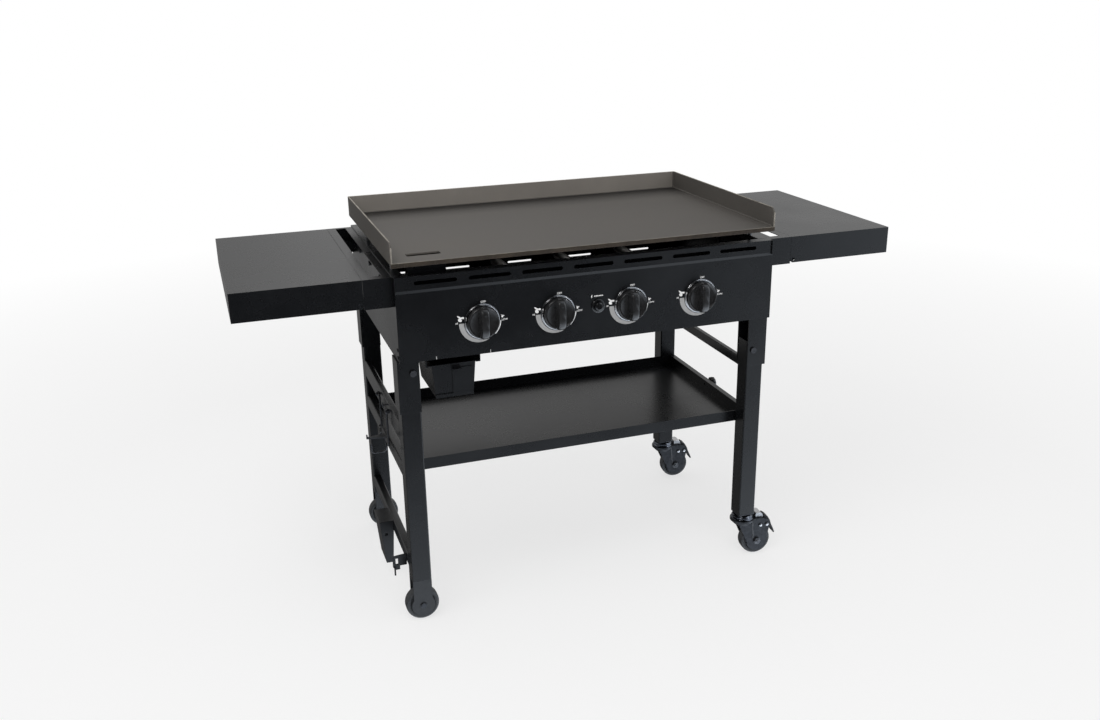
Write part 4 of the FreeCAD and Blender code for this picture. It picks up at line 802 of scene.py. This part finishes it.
def makeWelds(w):
    low, high = (np.array(c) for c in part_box("griddle_plate"))
    left, right, rear = low[0] + w["wall"], high[0] - w["wall"], high[1] - w["wall"]
    front, foot, top = low[1] + w["frontStop"], cookingHeight, high[2] - w["topStop"]
    runs = [((left, front, foot), (left, rear, foot), w["foot"]),
            ((left, rear, foot), (right, rear, foot), w["foot"]),
            ((right, rear, foot), (right, front, foot), w["foot"]),
            ((left, rear, foot), (left, rear, top), w["corner"]),
            ((right, rear, foot), (right, rear, top), w["corner"])]
    beads = []
    for a, b, radius in runs:
        count = int(np.linalg.norm(np.subtract(b, a)) / w["step"])
        shift = np.array([np.sign(-a[0]) * w["inset"] if a[0] == b[0] else 0, 0, w["inset"]])
        beads.append(tubeAlong(np.linspace(a, b, count) + shift, radius, sides=8, ripple=w["ripple"]))
    newPiece("griddle_welds", beads, "seasonedSteel", "griddle", sharp=80)


makeWelds(weld)
print("welds made")


# Print on the control panel: plain marks and words, in metres from the axis of a knob or the igniter.
printLook = {"proud": 0.00012, "sunk": 0.00008, "inner": 0.0415,
             "band": (180.0, 291.0), "thin": 0.0008, "wide": 0.0104, "narrowAt": 304.0,
             "tip": (0.6, 3.0, 0.04), "line": (313.0, 357.0, 0.0021),
             "words": (("OFF", 0.0038, 0.0443, 0.0048), ("HI", -0.0575, 0.0012, 0.0042),
                       ("LOW", 0.0515, -0.0010, 0.0042)), "capitals": 0.72, "bold": 0.02,
             "flames": ((-0.0482, 0.0110, 0.0078), (0.0470, 0.0070, 0.0038)),
             "flame": ((-0.30, -0.85), (0.20, -0.80), (0.30, -0.35), (0.15, -0.05), (0.80, -0.10),
                       (1.00, 0.20), (0.75, 0.50), (0.10, 0.45), (-0.35, 0.70), (-1.00, 1.00),
                       (-0.75, 0.45), (-0.40, 0.20), (-0.75, -0.10), (-0.70, -0.60)),
             "bolt": ((0.1, 1.0), (-0.55, -0.15), (-0.05, -0.1), (-0.25, -1.0), (0.5, 0.2), (0.05, 0.15),
                      (0.45, 1.0)), "boltPlace": (-0.0155, 0.0225, 0.0042),
             "dashes": (-0.0095, 0.0235, 0.0029, 0.0008, 0.0024, 6),
             "ticks": (-0.371, -0.248), "tickSize": (0.0010, 0.0070), "tickFoot": 0.0005}


def wordParts(word, x, z, height, p):
    # a word in the plain built-in letters, stood on the panel and centred on (x, z)
    curve = bpy.data.curves.new(word, "FONT")
    curve.body = word
    curve.size = height / p["capitals"]
    curve.align_x = "CENTER"
    curve.align_y = "CENTER"
    curve.extrude = p["proud"]
    curve.offset = height * p["bold"]
    holder = bpy.data.objects.new(word, curve)
    scene.collection.objects.link(holder)
    mesh = bpy.data.meshes.new_from_object(holder.evaluated_get(bpy.context.evaluated_depsgraph_get()))
    points = np.empty(len(mesh.vertices) * 3)
    mesh.vertices.foreach_get("co", points)
    points = points.reshape(-1, 3)
    faces = [list(face.vertices) for face in mesh.polygons]
    bpy.data.objects.remove(holder)
    bpy.data.curves.remove(curve)
    return np.stack([x + points[:, 0], panelFront - points[:, 2], z + points[:, 1]], axis=1), faces


def directions(degrees):
    # (cos, sin) of angles that turn from +X towards +Z
    angles = np.radians(degrees)
    return np.stack([np.cos(angles), np.sin(angles)], axis=1)


def rectangle(x, z, width, height):
    return [(x, z), (x + width, z), (x + width, z + height), (x, z + height)]


def makePrint(p):
    front, back = panelFront - p["proud"], panelFront + p["sunk"]
    # the grey band narrows as a quarter cosine does, and its tip is rounded off
    start, end = p["band"]
    past, span, least = p["tip"]
    degrees = np.linspace(start, end, 48)
    width = p["thin"] + p["wide"] * np.cos((degrees - start) / (p["narrowAt"] - start) * math.pi / 2)
    width *= np.sqrt(np.clip((end + past - degrees) / span, least, 1))
    bandRays = directions(degrees)
    lineStart, lineEnd, stroke = p["line"]
    lineRays = directions(np.linspace(lineStart, lineEnd, 24))
    flame = rounded(p["flame"])
    marks, bands, words = [], [], []
    for name in knobs:
        x, y, z = middle(name)
        at = np.array([x, z])
        outer = at + bandRays * (p["inner"] + width)[:, None]
        bands.append(bandOf(at + bandRays * p["inner"], outer, front, back))
        outer = at + lineRays * (p["inner"] + stroke)
        marks.append(bandOf(at + lineRays * p["inner"], outer, front, back))
        for dx, dz, size in p["flames"]:
            marks.append(plateOf(at + np.array([dx, dz]) + flame * size, front, back))
        words += [wordParts(word, x + dx, z + dz, height, p) for word, dx, dz, height in p["words"]]
    x, y, z = middle("igniter_button")
    dx, dz, size = p["boltPlace"]
    marks.append(plateOf(np.array([x + dx, z + dz]) + np.array(p["bolt"]) * size, front, back))
    dx, dz, length, gap, height, count = p["dashes"]
    for k in range(count):
        dash = rectangle(x + dx + k * (length + gap), z + dz - height / 2, length, height)
        marks.append(plateOf(dash, front, back))
    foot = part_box("control_panel")[0][2] + p["tickFoot"]
    w, h = p["tickSize"]
    marks += [plateOf(rectangle(tick - w / 2, foot, w, h), front, back) for tick in p["ticks"]]
    newPiece("panel_bands", bands, "printGrey", "station", sharp=60)
    newPiece("panel_marks", marks, "printWhite", "station", sharp=60)
    dressed("panel_words", meshOf("panel_words", *joined(words)), "printWhite", "station", sharp=30)


makePrint(printLook)
print("print made")


# The studio. Each list of stops is (place from 0 to 1, grey): with height behind the station, and with the
# bearing from left to right for the other two.
studio = {"floorHalf": 30.0, "fade": (1.6, 4.0), "floorTone": 0.92, "floorGlow": 0.65,
          "skyLight": 0.55, "rearward": (-0.15, 0.20),
          "behind": ((0.0, 0.10), (0.27, 0.14), (0.36, 0.36), (0.50, 0.46), (0.595, 0.62), (0.605, 0.55),
                     (0.618, 0.47), (0.628, 0.41), (0.65, 0.43), (0.69, 0.61), (0.74, 0.67), (1.0, 0.58)),
          "aside": ((0.0, 0.76), (0.52, 0.76), (0.555, 1.00), (0.60, 0.97), (0.71, 0.93), (0.78, 1.14),
                    (1.0, 1.3)),
          "front": ((0.0, 0.01), (0.62, 0.01), (0.69, 0.05), (0.72, 0.18), (0.76, 0.46), (0.80, 1.08),
                    (0.86, 1.36), (1.0, 1.36)),
          "lowGlow": (-0.60, -0.395), "lowLevel": 1.95, "frontTint": rgb(0.82, 0.90, 1.0)}
lamps = {
    "keyLamp": {"place": (-1.6, -1.2, 3.6), "target": (0, 0, 0.6),
                "size": (2.4, 2.4), "power": 40, "gloss": False},
    "frontLamp": {"place": (0.2, -4.2, 1.9), "target": (0, 0, 0.8),
                  "size": (3.2, 2.0), "power": 52, "gloss": False},
    "softBox": {"place": (-0.4, 2.6, 3.2), "target": (0, 0, 0.8),
                "size": (2.6, 1.6), "power": 22, "matt": False},
    "overheadGlow": {"place": (-1.8, -2.2, 3.2), "target": (0, 0, 0.8),
                     "size": (1.6, 1.0), "power": 30, "matt": False},
    "sideGlow": {"place": (3.4, -2.6, 2.9), "target": (0, 0, 0.8),
                 "size": (0.5, 0.6), "power": 15, "matt": False},
}


def makeFloor(s):
    # lit by the lamps, with a glow that fades in further out until the camera sees plain white
    half, tone = s["floorHalf"], s["floorTone"]
    corners = np.array([(-half, -half, 0), (half, -half, 0), (half, half, 0), (-half, half, 0)])
    mesh = meshOf("floor", corners, [(0, 1, 2, 3)])
    floor = bpy.data.objects.new("floor", mesh)
    scene.collection.objects.link(floor)
    material = bpy.data.materials.new("floor")
    place = startTree(material, "Object")
    camera = place.node("LightPath", pick="Is Camera Ray")
    away = place.node("VectorMath", {"operation": "LENGTH"}, {0: place}, pick="Value")
    lit = place.node("BsdfDiffuse", {}, {"Color": rgb(tone, tone, tone)})
    white = place.node("Emission", {}, {"Color": rgb(1, 1, 1), "Strength": 1.0})
    share = (s["floorGlow"] + (1 - s["floorGlow"]) * away.ramp(*s["fade"])) * camera
    place.node("MixShader", {}, {0: share, 1: lit, 2: white}).surface("Material")
    mesh.materials.append(material)
    floor.visible_glossy = False


def makeSky(s):
    # white to the camera and one grey to matt faces. Gloss mirrors a room: behind the station its grey goes
    # with height and bearing, and before it with bearing alone, black at the left and bright at the right
    world = bpy.data.worlds.new("sky")
    scene.world = world
    start = startTree(world, "Generated")
    x, y, z = (start.part(k) for k in range(3))
    camera = start.node("LightPath", pick="Is Camera Ray")
    glossy = start.node("LightPath", pick="Is Glossy Ray")
    bearing = x / x.math("SQRT", x * x + y * y + 0.0001) * 0.5 + 0.5  # the small number avoids dividing by 0
    rear = y.ramp(*s["rearward"])
    # low surfaces mirror the bright floor ahead of the station
    front = bearing.graded(s["front"]) + s["lowLevel"] * (1 - z.ramp(*s["lowGlow"]))
    behind = (z * 0.5 + 0.5).graded(s["behind"]) * bearing.graded(s["aside"])
    glow = front * (1 - rear) + behind * rear
    level = s["skyLight"] * (1 - glossy) + glow * glossy
    level = camera + (1 - camera) * level
    tint = (glossy * (1 - rear)).blend(rgb(1, 1, 1), s["frontTint"])
    start.node("Background", {}, {"Color": tint, "Strength": level}).surface("World")


def makeLamp(name, place, target, size, power, gloss=True, matt=True):
    data = bpy.data.lights.new(name, "AREA")
    data.shape = "RECTANGLE"
    data.size, data.size_y = size
    data.energy = power
    lamp = bpy.data.objects.new(name, data)
    scene.collection.objects.link(lamp)
    lamp.location = place
    lamp.rotation_mode = "QUATERNION"
    lamp.rotation_quaternion = (Vector(target) - Vector(place)).to_track_quat("-Z", "Y")
    lamp.visible_glossy = gloss
    lamp.visible_diffuse = matt


makeFloor(studio)
makeSky(studio)
for name, look in lamps.items():
    makeLamp(name, **look)
print("studio ready")
